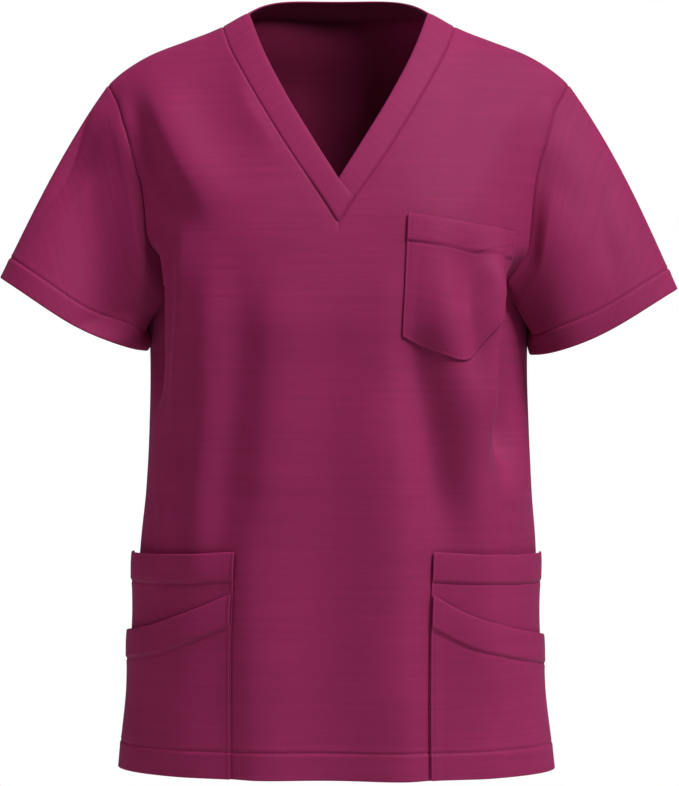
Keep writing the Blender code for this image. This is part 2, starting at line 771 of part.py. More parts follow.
front = front_panel()
back = back_panel()
pieces = [
    front,
    back,
    sleeve("sleeve_left", 1, front, back),
    sleeve("sleeve_right", -1, front, back),
    band_front("neckband_front_right", -1, front),
    band_front("neckband_front_left", 1, front),
    band_back(back),
    chest_pocket(),
    lower_pocket("pocket_tall_left", 1, 1, front),
    lower_pocket("pocket_tall_right", -1, 1, front),
    lower_pocket("pocket_slant_left", 1, 2, front),
    lower_pocket("pocket_slant_right", -1, 2, front),
]
wall(pieces)
for piece in pieces:
    make_object(piece)
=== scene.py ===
import math

import bpy
import numpy as np
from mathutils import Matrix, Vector


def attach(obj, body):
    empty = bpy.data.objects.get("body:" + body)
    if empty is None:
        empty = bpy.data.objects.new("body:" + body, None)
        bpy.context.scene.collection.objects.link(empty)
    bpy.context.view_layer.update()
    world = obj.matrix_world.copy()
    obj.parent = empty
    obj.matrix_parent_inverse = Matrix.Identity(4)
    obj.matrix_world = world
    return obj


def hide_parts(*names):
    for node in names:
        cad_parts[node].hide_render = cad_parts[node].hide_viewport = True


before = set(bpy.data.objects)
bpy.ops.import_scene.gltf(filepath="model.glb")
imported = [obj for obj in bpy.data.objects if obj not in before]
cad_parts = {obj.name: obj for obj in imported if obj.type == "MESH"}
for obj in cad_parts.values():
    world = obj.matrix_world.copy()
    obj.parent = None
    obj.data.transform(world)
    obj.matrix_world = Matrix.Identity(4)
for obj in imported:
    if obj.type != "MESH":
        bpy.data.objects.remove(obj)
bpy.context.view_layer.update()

# ------------------------------------------------------------ sizes
CLOTH = 0.0009             # thickness of one layer of cloth
HEM_Z = -0.645
UNDERARM_Z = -0.240
V_POINT_Z = -0.179
APEX_Z = -0.1425
CROSS_Z = -0.1584
BACK_NECK_DEPTH = 0.078
BACK_NECK_RISE = 0.0130
BACK_BAND_DEPTH = 0.060
BACK_BAND_RISE = 0.0262
NECK_HALF = 0.1005
BAND_HALF = 0.0790
POCKET_INNER = 0.0830
HEM_DEPTH = 0.0240         # turned up at the bottom
CUFF_DEPTH = 0.0205        # turned up at the cuffs
BAND_DEPTH = 0.0242        # folded band at the pockets' mouths
SEAM_DEPTH = 0.0009        # how far a seam sinks
SEAM_WIDTH = 0.0011        # and over what distance

BODY_SECTIONS = (
    # height, half_width, front,  back,   squareness
    (-0.645,  0.1862,     0.1090, 0.1120, 2.30),
    (-0.620,  0.1836,     0.1105, 0.1115, 2.32),
    (-0.575,  0.1782,     0.1135, 0.1090, 2.35),
    (-0.520,  0.1742,     0.1160, 0.1040, 2.35),
    (-0.450,  0.1708,     0.1180, 0.0980, 2.35),
    (-0.405,  0.1668,     0.1190, 0.0955, 2.35),
    (-0.350,  0.1642,     0.1210, 0.0965, 2.35),
    (-0.300,  0.1632,     0.1240, 0.1000, 2.35),
    (-0.265,  0.1638,     0.1250, 0.1030, 2.32),
    (-0.240,  0.1648,     0.1230, 0.1050, 2.30),
)
UPPER_SECTIONS = (
    # rise, half_width, front,  back,   squareness, arm_front, arm_back
    (0.00,  0.1648,     0.1230, 0.1050, 2.30,       0.1648,    0.1648),
    (0.004, 0.1650,     0.1231, 0.1052, 2.30,       0.16475,   0.1648),
    (0.014, 0.1654,     0.1232, 0.1058, 2.30,       0.1635,    0.1648),
    (0.03,  0.1660,     0.1235, 0.1068, 2.30,       0.1606,    0.1649),
    (0.06,  0.1672,     0.1240, 0.1085, 2.30,       0.1582,    0.1650),
    (0.11,  0.1692,     0.1249, 0.1111, 2.30,       0.1592,    0.1655),
    (0.18,  0.1718,     0.1263, 0.1152, 2.30,       0.1616,    0.1664),
    (0.28,  0.1751,     0.1283, 0.1216, 2.30,       0.1642,    0.1676),
    (0.42,  0.1795,     0.1295, 0.1335, 2.30,       0.1672,    0.1702),
    (0.60,  0.1868,     0.1280, 0.1480, 2.28,       0.1735,    0.1762),
    (0.80,  0.1960,     0.1220, 0.1590, 2.25,       0.1850,    0.1870),
    (0.92,  0.2010,     0.1150, 0.1550, 2.22,       0.1945,    0.1952),
    (1.00,  0.2040,     0.1100, 0.1400, 2.20,       0.2000,    0.2000),
)
SHOULDER_LINE = (
    # out,   height
    (0.000,  0.0300),
    (0.050,  0.0200),
    (0.079,  0.0088),
    (0.096, -0.0007),
    (0.111, -0.0076),
    (0.130, -0.0148),
    (0.163, -0.0276),
    (0.184, -0.0400),
    (0.200, -0.0535),
    (0.215, -0.0740),
)
V_SEAM = (
    # height, half
    (-0.179,  0.0000),
    (-0.1584, 0.0128),
    (-0.127,  0.0345),
    (-0.090,  0.0575),
    (-0.050,  0.0803),
    (-0.020,  0.0950),
    (0.000,   0.1005),
    (0.030,   0.1005),
)
V_INNER = (
    # height, half
    (-0.1425, 0.0000),
    (-0.1065, 0.0222),
    (-0.0668, 0.0455),
    (-0.0249, 0.0662),
    (0.0098,  0.0790),
)
POCKET_TOPS = (
    # share, tall,   slant_left, slant_right
    (0.00,  -0.4545, -0.4900,    -0.4898),
    (0.12,  -0.4555, -0.5005,    -0.4972),
    (0.32,  -0.4572, -0.5140,    -0.5095),
    (0.57,  -0.4586, -0.5228,    -0.5205),
    (1.00,  -0.4592, -0.5318,    -0.5285),
)
PROUD = {
    # layer, side: how far the mouth stands off at the side seam
    (1, 1): 0.0014, (1, -1): 0.0040, (2, 1): 0.0014, (2, -1): 0.0022,
}
CHEST_POCKET = {
    # corner: x, z
    "top_inner": (0.0577, -0.1728),
    "top_outer": (0.1470, -0.1850),
    "low_inner": (0.0535, -0.2732),
    "point": (0.1030, -0.2960),
    "low_outer": (0.1430, -0.2290),
}
SLEEVES = {
    # side: outer_x, outer_z, inner_x, inner_z, half_depth, sag, forward
    +1: (0.2930, -0.2312, 0.1672, -0.2868, 0.0530, 0.0082, -0.0080),
    -1: (0.2925, -0.2215, 0.1672, -0.2830, 0.0530, 0.0080, -0.0080),
}
HANG = (
    # height, turn_degrees, shift
    (-0.645, -3.0,  -0.0016),
    (-0.590, -2.8,  -0.0020),
    (-0.535, -2.4,  -0.0022),
    (-0.450, -1.6,  -0.0003),
    (-0.370, -0.8,   0.0006),
    (-0.300, -0.2,   0.0002),
    (-0.245,  0.0,   0.0000),
)

# Creases of the body. Each runs through three places, given in millimetres as
# seen from its own side (x to the wearer's left, z up). width is in millimetres
# on each side of its line (left of it, right of it, looking down the crease from
# its first place, seen from the front); depth is + for a ridge and - for a
# trough; the fades are the shares of its length over which it comes and goes.
FRONT_CREASES = (
    # x1,   z1,   x2,   z2,   x3,   z3,  width_a, width_b, depth, fade_1, fade_2
    # shoulder to armpit, on the wearer's right
    (-164,  -40, -136, -112,  -92, -186,   17,      26,     13.0,  0.38,   0.40),
    (-190,  -58, -181, -100, -171, -150,    7,      10,      5.0,  0.35,   0.40),
    ( -86,  -44,  -72,  -84,  -46, -130,   12,      14,      1.8,  0.40,   0.40),
    # the sharp fold and its hollow under each arm
    (-128, -165, -128, -240, -142, -375,   10,      32,      9.0,  0.30,   0.45),
    (-159, -186, -156, -240, -157, -345,   14,      10,    -22.0,  0.26,   0.40),
    ( 133, -172,  123, -268,  121, -395,   20,       7,     20.0,  0.42,   0.38),
    ( 106, -180,  105, -250,  108, -340,   14,      14,     -4.0,  0.35,   0.40),
    ( 159, -194,  150, -262,  146, -410,   17,      25,    -32.0,  0.26,   0.32),
    # long ridges of the front
    ( -98, -190, -108, -300, -119, -520,   13,      17,      6.6,  0.22,   0.35),
    ( -82, -230,  -86, -330, -103, -500,   12,      12,     -1.6,  0.30,   0.35),
    ( -53, -205,  -55, -340,  -64, -470,   19,      32,      7.2,  0.28,   0.30),
    ( -66, -400,  -63, -540,  -57, -700,   20,      34,      6.6,  0.25,   0.02),
    (  34, -235,   50, -430,   64, -700,   36,      21,      9.0,  0.30,   0.02),
    (  59, -240,   70, -330,   95, -465,   15,      17,     -5.2,  0.25,   0.35),
    (  76, -176,  101, -325,  128, -480,   19,      17,     13.8,  0.34,   0.32),
    ( 108, -400,  124, -490,  136, -610,   26,      18,      5.5,  0.35,   0.40),
    # small ones
    ( 184,  -60,  178,  -96,  170, -135,    9,       6,      3.0,  0.30,   0.45),
    ( 150,  -56,  134, -118,  104, -180,   14,      22,      2.2,  0.35,   0.45),
    ( 118, -205,  128, -240,  132, -285,    9,       9,      3.6,  0.30,   0.35),
    (  44, -195,   40, -268,   34, -330,   16,      16,      1.8,  0.35,   0.40),
    (-150, -380, -146, -440, -146, -520,   10,      14,      2.4,  0.35,   0.40),
    ( 150, -380,  147, -430,  146, -490,   10,       9,      2.4,  0.30,   0.45),
    (-122, -470, -120, -560, -128, -660,   20,      20,      1.6,  0.35,   0.25),
    ( 122, -500,  126, -580,  134, -670,   20,      22,      1.6,  0.35,   0.25),
)
BACK_CREASES = (
    ( 150,  -62,  128, -120,   96, -190,   12,      18,     -6.5,  0.30,   0.45),
    (-146,  -70, -130, -128, -100, -205,   16,      11,     -5.6,  0.30,   0.45),
    ( 172,  -70,  158, -118,  146, -170,    7,       7,      3.4,  0.30,   0.40),
    (-170,  -74, -160, -126, -150, -176,    7,       7,      3.1,  0.30,   0.40),
    ( 154, -205,  152, -270,  158, -350,    9,      10,     -7.8,  0.25,   0.40),
    (-155, -210, -151, -280, -157, -360,   10,       9,     -8.1,  0.25,   0.40),
    ( 136, -200,  138, -262,  146, -340,    7,       7,      3.4,  0.25,   0.40),
    (-138, -205, -138, -266, -148, -352,    7,       7,      3.4,  0.25,   0.40),
    (  96, -230,   92, -350,   76, -520,   13,      15,     -7.4,  0.35,   0.40),
    (-100, -250,  -88, -380,  -70, -560,   16,      13,     -6.8,  0.35,   0.35),
    (  62, -240,   54, -430,   44, -700,   22,      24,      6.2,  0.45,   0.02),
    ( -48, -280,  -40, -450,  -34, -700,   24,      22,      5.6,  0.45,   0.02),
    (   8, -230,    2, -430,   -4, -700,   24,      26,     -6.5,  0.50,   0.02),
    ( 118, -320,  112, -450,  118, -700,   20,      18,      4.7,  0.40,   0.02),
    (-120, -340, -112, -470, -110, -700,   18,      20,      5.0,  0.40,   0.02),
    (  88, -480,   84, -580,   80, -700,   18,      18,     -5.3,  0.35,   0.02),
    ( -82, -500,  -76, -590,  -72, -700,   18,      18,     -5.0,  0.35,   0.02),
    (  30,  -40,   22,  -95,    8, -160,   18,      18,     -2.8,  0.35,   0.45),
    ( -44,  -36,  -40,  -80,  -52, -140,   18,      16,     -2.5,  0.35,   0.45),
)
# Soft rounds of the figure and its cut: where, how wide, and how far out.
ROUNDS = (
    # on,     x,      z,      wide,  tall,  out
    ("front",  0.084, -0.186, 0.046, 0.046, 0.0070),
    ("front", -0.084, -0.186, 0.046, 0.046, 0.0070),
    ("front",  0.000, -0.300, 0.110, 0.046, -0.0040),
    ("back",   0.075, -0.130, 0.050, 0.060, 0.0040),
    ("back",  -0.075, -0.130, 0.050, 0.060, 0.0040),
)
# Creases of the sleeves, as seen from the front or the back, in millimetres.
SLEEVE_CREASES = (
    # side, on,    x1,   z1,   x2,   z2,   x3,   z3,  width_a, width_b, depth, fade_1, fade_2
    (-1, "front", -226,  -70, -219, -150, -188, -280,   50,      34,    -16.0,  0.30,   0.12),
    (-1, "front", -160,  -95, -166, -200, -176, -294,   20,      20,      8.0,  0.35,   0.10),
    (+1, "front",  176, -120,  186, -205,  192, -300,   28,      30,      8.5,  0.45,   0.10),
    (+1, "front",  220, -120,  228, -185,  238, -240,   10,      12,     -2.8,  0.35,   0.40),
    (-1, "back",  -206,  -86, -204, -150, -200, -220,   13,      15,     -4.4,  0.35,   0.40),
    (-1, "back",  -236, -120, -240, -180, -246, -250,   13,      13,      2.2,  0.35,   0.30),
    (+1, "back",   210,  -82,  212, -145,  214, -225,   12,      14,     -4.8,  0.35,   0.40),
    (+1, "back",   240, -126,  246, -186,  256, -250,   13,      13,      2.2,  0.35,   0.30),
)


# ------------------------------------------------------------ curves
def curve(xs, ys):
    """A smooth curve through points that never overshoots them."""
    xs, ys = np.asarray(xs, float), np.asarray(ys, float)
    h, d = np.diff(xs), np.diff(ys) / np.diff(xs)
    m = np.empty(len(xs))
    m[0], m[-1] = d[0], d[-1]
    for i in range(1, len(xs) - 1):
        if d[i - 1] * d[i] <= 0:
            m[i] = 0.0
        else:
            a, b = 2 * h[i] + h[i - 1], h[i] + 2 * h[i - 1]
            m[i] = (a + b) / (a / d[i - 1] + b / d[i])

    def at(x):
        x = np.clip(np.asarray(x, float), xs[0], xs[-1])
        k = np.clip(np.searchsorted(xs, x, side="right") - 1, 0, len(xs) - 2)
        t = (x - xs[k]) / h[k]
        return (
            ys[k] * (2 * t**3 - 3 * t**2 + 1)
            + m[k] * h[k] * (t**3 - 2 * t**2 + t)
            + ys[k + 1] * (3 * t**2 - 2 * t**3)
            + m[k + 1] * h[k] * (t**3 - t**2)
        )

    return at


def columns_of(table):
    rows = list(zip(*table))
    return [curve(rows[0], r) for r in rows[1:]]


def step(x):
    x = np.clip(x, 0.0, 1.0)
    return x * x * (3 - 2 * x)


def unit(v):
    return v / (np.linalg.norm(v, axis=-1, keepdims=True) + 1e-12)


low_half, low_front, low_back, low_square = columns_of(BODY_SECTIONS)
up_half, up_front, up_back, up_square, arm_front, arm_back = columns_of(UPPER_SECTIONS)
(shoulder_z,) = columns_of(SHOULDER_LINE)
(v_half,) = columns_of(V_SEAM)
(v_inner,) = columns_of(V_INNER)
tall_top, slant_top_left, slant_top_right = columns_of(POCKET_TOPS)
hang_turn, hang_shift = columns_of(HANG)
V_RISE = (V_POINT_Z - UNDERARM_Z) / (float(shoulder_z(0.0)) - UNDERARM_Z)


def rise_of(z, x):
    return (z - UNDERARM_Z) / (shoulder_z(np.abs(x)) - UNDERARM_Z)


def hang(p):
    """The part below the underarm turns a little about the vertical."""
    p = np.asarray(p, float)
    turn = np.radians(hang_turn(p[..., 2]))
    x = p[..., 0] * np.cos(turn) - p[..., 1] * np.sin(turn) + hang_shift(p[..., 2])
    y = p[..., 0] * np.sin(turn) + p[..., 1] * np.cos(turn)
    return np.stack([x, y, p[..., 2]], -1)


# ------------------------------------------------------------ body surface
def back_neck_y(x):
    q = np.clip(np.abs(x) / NECK_HALF, 0, 1)
    return BACK_NECK_DEPTH * np.maximum(1 - q**2.2, 0) ** 0.62


def back_top_z(x):
    q = np.clip(np.abs(x) / NECK_HALF, 0, 1)
    low = float(shoulder_z(NECK_HALF))
    neck = low + (BACK_NECK_RISE - low) * step(back_neck_y(x) / (0.85 * BACK_NECK_DEPTH))
    return np.where(q < 1, neck, shoulder_z(np.abs(x)))


def section(back, level):
    if level <= 0:
        z = UNDERARM_Z + (UNDERARM_Z - HEM_Z) * level
        half, n = float(low_half(z)), float(low_square(z))
        deep, stop = float((low_back if back else low_front)(z)), half
    else:
        half, n = float(up_half(level)), float(up_square(level))
        deep = float((up_back if back else up_front)(level)) * math.sqrt(max(1 - level, 0))
        stop = float((arm_back if back else arm_front)(level))
    last = math.asin(min(1.0, (stop / half) ** (n / 2)))
    turn = np.concatenate([np.linspace(0, last, 401), np.linspace(last, math.pi / 2, 61)[1:]])
    x = half * np.sin(turn) ** (2 / n)
    y = deep * np.clip(np.cos(turn), 0, 1) ** (2 / n)
    if level <= 0:
        zz = np.full_like(x, z)
    elif back:
        y = (back_neck_y(x) ** 3 * level**2 + y**3) ** (1 / 3)
        zz = UNDERARM_Z + (back_top_z(x) - UNDERARM_Z) * level
    else:
        zz = UNDERARM_Z + (shoulder_z(x) - UNDERARM_Z) * level
    return x, (y if back else -y), zz


def inner_edge(level):
    if level <= V_RISE:
        return 0.0
    half = 0.05
    for _ in range(40):
        z = UNDERARM_Z + (float(shoulder_z(half)) - UNDERARM_Z) * level
        half = 0.5 * half + 0.5 * float(v_half(z))
    return half


LOW_N, UP_N, WIDE_N = 420, 330, 420
FLAT_RISES = np.array([0.0007, 0.0015, 0.0024, 0.0034, 0.0046, 0.0059, 0.0073, 0.0088, 0.0104, 0.0121, 0.0140, 0.0163, 0.0192])
rises = 1 - np.linspace(1, 0, UP_N + 1)[1:] ** 2
DENSE = np.concatenate([np.linspace(-1, 0, LOW_N), FLAT_RISES, rises[rises > 0.021]])
V_INDEX = int(np.searchsorted(DENSE, V_RISE))
DENSE[V_INDEX] = V_RISE


def index_of(level):
    """Where a level lies among the dense rows, as a real number."""
    return np.interp(level, DENSE, np.arange(len(DENSE)))


def squeeze(share, level):
    start = 0.62 - 0.32 * float(step(level / 0.05))
    return (np.maximum(share - start, 0) / (1 - start)) ** 2


class Panel:
    """Half of a body panel as a dense sheet: its middle surface with its
    creases, the normals, and how far each point lies round the cloth."""

    def __init__(self, back, side):
        self.back, self.side = back, side
        shares = np.linspace(0, 1, WIDE_N)
        base, run_at, length = [], [], []
        for level in DENSE:
            x, y, z = section(back, level)
            run = np.concatenate([[0], np.cumsum(np.sqrt(np.diff(x) ** 2 + np.diff(y) ** 2 + np.diff(z) ** 2))])
            start = float(np.interp(inner_edge(level), x, run)) if not back else 0.0
            whole, stop = run[-1] - start, run[400] - start
            at = start + whole * shares - (whole - stop) * squeeze(shares, level)
            base.append(np.stack([side * np.interp(at, run, x), np.interp(at, run, y), np.interp(at, run, z)], -1))
            run_at.append(at)
            length.append(whole)
        self.base = np.array(base)
        self.run = np.array(run_at)
        self.length = np.array(length)
        self.points = self.base
        self.normal = None

    def normals_of(self, points, mirror):
        """Normals of a sheet; below the V the two halves are one surface."""
        across = np.gradient(points, axis=1)
        top = len(DENSE) if self.back else V_INDEX + 1
        across[:top, 0] = (points[:top, 1] - mirror[:top, 1]) / 2
        up = np.gradient(points, axis=0)
        for i in range(1, len(DENSE) - 1):
            # the rows above and below, at the same places round the cloth
            ends = []
            for k in (i - 1, i + 1):
                there = np.stack([np.interp(self.run[i], self.run[k], points[k, :, c]) for c in range(3)], -1)
                has = (self.run[i] >= self.run[k, 0] - 1e-7) & (self.run[i] <= self.run[k, -1] + 1e-7)
                ends.append((np.where(has[:, None], there, points[i]), has))
            good = (ends[0][1] | ends[1][1])[:, None]
            up[i] = np.where(good, ends[1][0] - ends[0][0], up[i])
        up[-1] = up[-2]
        n = np.cross(across, up) * (self.side * (-1 if self.back else 1))
        return unit(n)

    def at(self, level, share, what=None):
        """Values of a dense array at any levels and shares."""
        what = self.points if what is None else what
        r = np.clip(index_of(level), 0, len(DENSE) - 1.000001)
        c = np.clip(np.asarray(share, float) * (WIDE_N - 1), 0, WIDE_N - 1.000001)
        r, c = np.broadcast_arrays(r, c)
        i, j = r.astype(int), c.astype(int)
        fr, fc = r - i, c - j
        if what.ndim == 1:
            return what[i] * (1 - fr) + what[i + 1] * fr
        if what.ndim == 3:
            fr, fc = fr[..., None], fc[..., None]
        return (
            what[i, j] * (1 - fr) * (1 - fc)
            + what[i + 1, j] * fr * (1 - fc)
            + what[i, j + 1] * (1 - fr) * fc
            + what[i + 1, j + 1] * fr * fc
        )


def crease_height(a, z, path, width_a, width_b, depth, fade_1, fade_2):
    """Height of one crease at places (a, z). path is its three places."""
    p0, p1, p2 = (np.asarray(p, float) for p in path)
    mid = 2 * p1 - (p0 + p2) / 2  # the curve passes through the middle place
    t = np.linspace(0, 1, 17)[:, None]
    line = p0 * (1 - t) ** 2 + mid * 2 * t * (1 - t) + p2 * t**2
    reach = 3.0 * max(width_a, width_b)
    lo, hi = line.min(0) - reach, line.max(0) + reach
    near = (a > lo[0]) & (a < hi[0]) & (z > lo[1]) & (z < hi[1])
    out = np.zeros_like(a)
    if not near.any():
        return out
    q = np.stack([a[near], z[near]], -1)
    best = np.full(len(q), 1e9)
    where = np.zeros(len(q))
    off = np.zeros(len(q))
    run = np.concatenate([[0], np.cumsum(np.linalg.norm(np.diff(line, axis=0), axis=1))])
    for k in range(len(line) - 1):
        d = line[k + 1] - line[k]
        size = np.linalg.norm(d)
        u = np.clip(((q - line[k]) @ d) / size**2, 0, 1)
        gap = q - (line[k] + u[:, None] * d)
        dist = (gap**2).sum(1)
        closer = dist < best
        best = np.where(closer, dist, best)
        where = np.where(closer, (run[k] + u * size) / run[-1], where)
        off = np.where(closer, d[0] * (q[:, 1] - line[k][1]) - d[1] * (q[:, 0] - line[k][0]), off)
    width = np.where(off > 0, width_b, width_a)
    height = depth * step(where / fade_1) * step((1 - where) / fade_2) * np.exp(-best / width**2)
    out[near] = height
    return out


def make_panel_pair(back):
    pair = {side: Panel(back, side) for side in (-1, 1)}
    for side in (-1, 1):
        pair[side].normal = pair[side].normals_of(pair[side].base, pair[-side].base)
    ref = pair[1]

    def around_of(x, z):
        """How far round the cloth a place seen from this side lies."""
        level = (z - UNDERARM_Z) / (UNDERARM_Z - HEM_Z) if z <= UNDERARM_Z else float(rise_of(z, x))
        level = min(max(level, -1.0), 0.999)
        i = int(round(float(index_of(level))))
        return math.copysign(float(np.interp(abs(x), ref.base[i, :, 0], ref.run[i])), x)

    creases = BACK_CREASES if back else FRONT_CREASES
    paths = []
    for c in creases:
        places = [(around_of(c[k] / 1000, max(c[k + 1] / 1000, -0.645)), c[k + 1] / 1000) for k in (0, 2, 4)]
        paths.append((places, c[6] / 1000, c[7] / 1000, c[8] / 1000, c[9], c[10]))
    for side in (-1, 1):
        p = pair[side]
        a = side * p.run
        z = p.base[..., 2]
        height = np.zeros_like(a)
        for path, wa, wb, depth, f1, f2 in paths:
            height += crease_height(a, z, path, wa, wb, depth, f1, f2)
        for on, x, zc, wide, tall, out in ROUNDS:
            if (on == "back") == back:
                height += out * np.exp(-(((p.base[..., 0] - x) / wide) ** 2) - ((z - zc) / tall) ** 2)
        # creases die out before the side seam, the shoulder seam and the neck
        level = DENSE[:, None]
        rest = p.run[:, -1:] - p.run
        rest = np.where(level > 0, np.abs(p.base[..., 1]), rest)
        calm = 1 - (1 - step(rest / 0.014)) * (1 - step(level / 0.12))
        calm = calm * step((1 - level) / 0.10)
        if not back:
            from_v = np.hypot(np.maximum(np.abs(p.base[..., 0]) - np.where(z > V_POINT_Z, v_half(z), 0), 0), np.maximum(V_POINT_Z - z, 0))
            calm = calm * step(from_v / 0.012)
        p.height = height * calm
        # level with the underarm the cloth moves straight out, so no rows cross
        push = p.normal.copy()
        push[..., 2] *= step(np.abs(z - UNDERARM_Z) / 0.035)
        p.points = p.base + unit(push) * p.height[..., None]
    for side in (-1, 1):
        pair[side].normal = pair[side].normals_of(pair[side].points, pair[-side].points)
    return pair


front = make_panel_pair(False)
back = make_panel_pair(True)


# ------------------------------------------------------------ meshes
INSIDE = 20.0              # the inner layer's places on the cloth start from here, which is how the material finds the inner layer to paint darker as shade


def build_mesh(name, outer, inner, faces, bulge, uv=None, hung=True):
    """A thin closed shell from an outer and an inner layer of points. The
    rim between them is round where bulge is more than 0."""
    n = len(outer)
    used = {}
    for f in faces:
        for a, b in zip(f, np.roll(f, -1)):
            used[(int(a), int(b))] = True
    rim = [e for e in used if (e[1], e[0]) not in used]
    after = dict(rim)
    before = {b: a for a, b in rim}
    verts = [outer, inner]
    count = 2 * n
    chain = {}
    extra = []
    for v in {k for e in rim for k in e}:
        o, i = outer[v], inner[v]
        nn = o - i
        thick = np.linalg.norm(nn)
        nn = nn / (thick + 1e-12)
        along = outer[after.get(v, v)] - outer[before.get(v, v)]
        away = np.cross(along, nn)
        away = away / (np.linalg.norm(away) + 1e-12)
        ids = [v]
        for k in (1, 2, 3):
            t = math.pi * k / 4
            p = (o + i) / 2 + nn * math.cos(t) * thick / 2 + away * math.sin(t) * bulge[v]
            extra.append(p)
            ids.append(count)
            count += 1
        ids.append(v + n)
        chain[v] = ids
    allv = np.concatenate([outer, inner, np.array(extra).reshape(-1, 3)])
    if hung:
        allv = hang(allv)
    polys = [tuple(int(k) for k in f) for f in faces]
    polys += [tuple(int(k) + n for k in reversed(f)) for f in faces]
    for a, b in rim:
        ca, cb = chain[a], chain[b]
        for k in range(4):
            polys.append((ca[k], ca[k + 1], cb[k + 1], cb[k]))
    mesh = bpy.data.meshes.new(name)
    mesh.from_pydata([tuple(p) for p in allv.tolist()], [], polys)
    mesh.update()
    if uv is not None:
        layer = mesh.uv_layers.new(name="Cloth")
        extra_uv = np.zeros((len(allv) - 2 * n, 2))
        for v, ids in chain.items():
            for k in ids[1:4]:
                extra_uv[k - 2 * n] = uv[v]
        all_uv = np.concatenate([uv, uv + (INSIDE, 0), extra_uv])
        loops = np.zeros(len(mesh.loops), np.int32)
        mesh.loops.foreach_get("vertex_index", loops)
        layer.data.foreach_set("uv", all_uv[loops].astype(np.float32).ravel())
    mesh.shade_smooth()
    ob = bpy.data.objects.new(name, mesh)
    bpy.context.scene.collection.objects.link(ob)
    return ob


def grid_faces(idx, flip):
    a, b, c, d = idx[:-1, :-1], idx[:-1, 1:], idx[1:, 1:], idx[1:, :-1]
    q = np.stack([a, b, c, d], -1).reshape(-1, 4)
    if flip:
        q = q[:, ::-1]
    return [tuple(dict.fromkeys(r)) if len(set(r)) < 4 else tuple(r) for r in q.tolist() if len(set(r)) > 2]


def groove(distance, depth=SEAM_DEPTH, width=SEAM_WIDTH):
    return -depth * np.exp(-((distance / width) ** 2))


def stitched(distance, depth=0.0005, width=0.0011):
    """The shallow ditch along a line of stitches, with the cloth a little
    proud beside it."""
    return -depth * np.exp(-((distance / width) ** 2)) + 0.25 * depth * np.exp(-(((np.abs(distance) - 3.2 * width) / (1.6 * width)) ** 2))


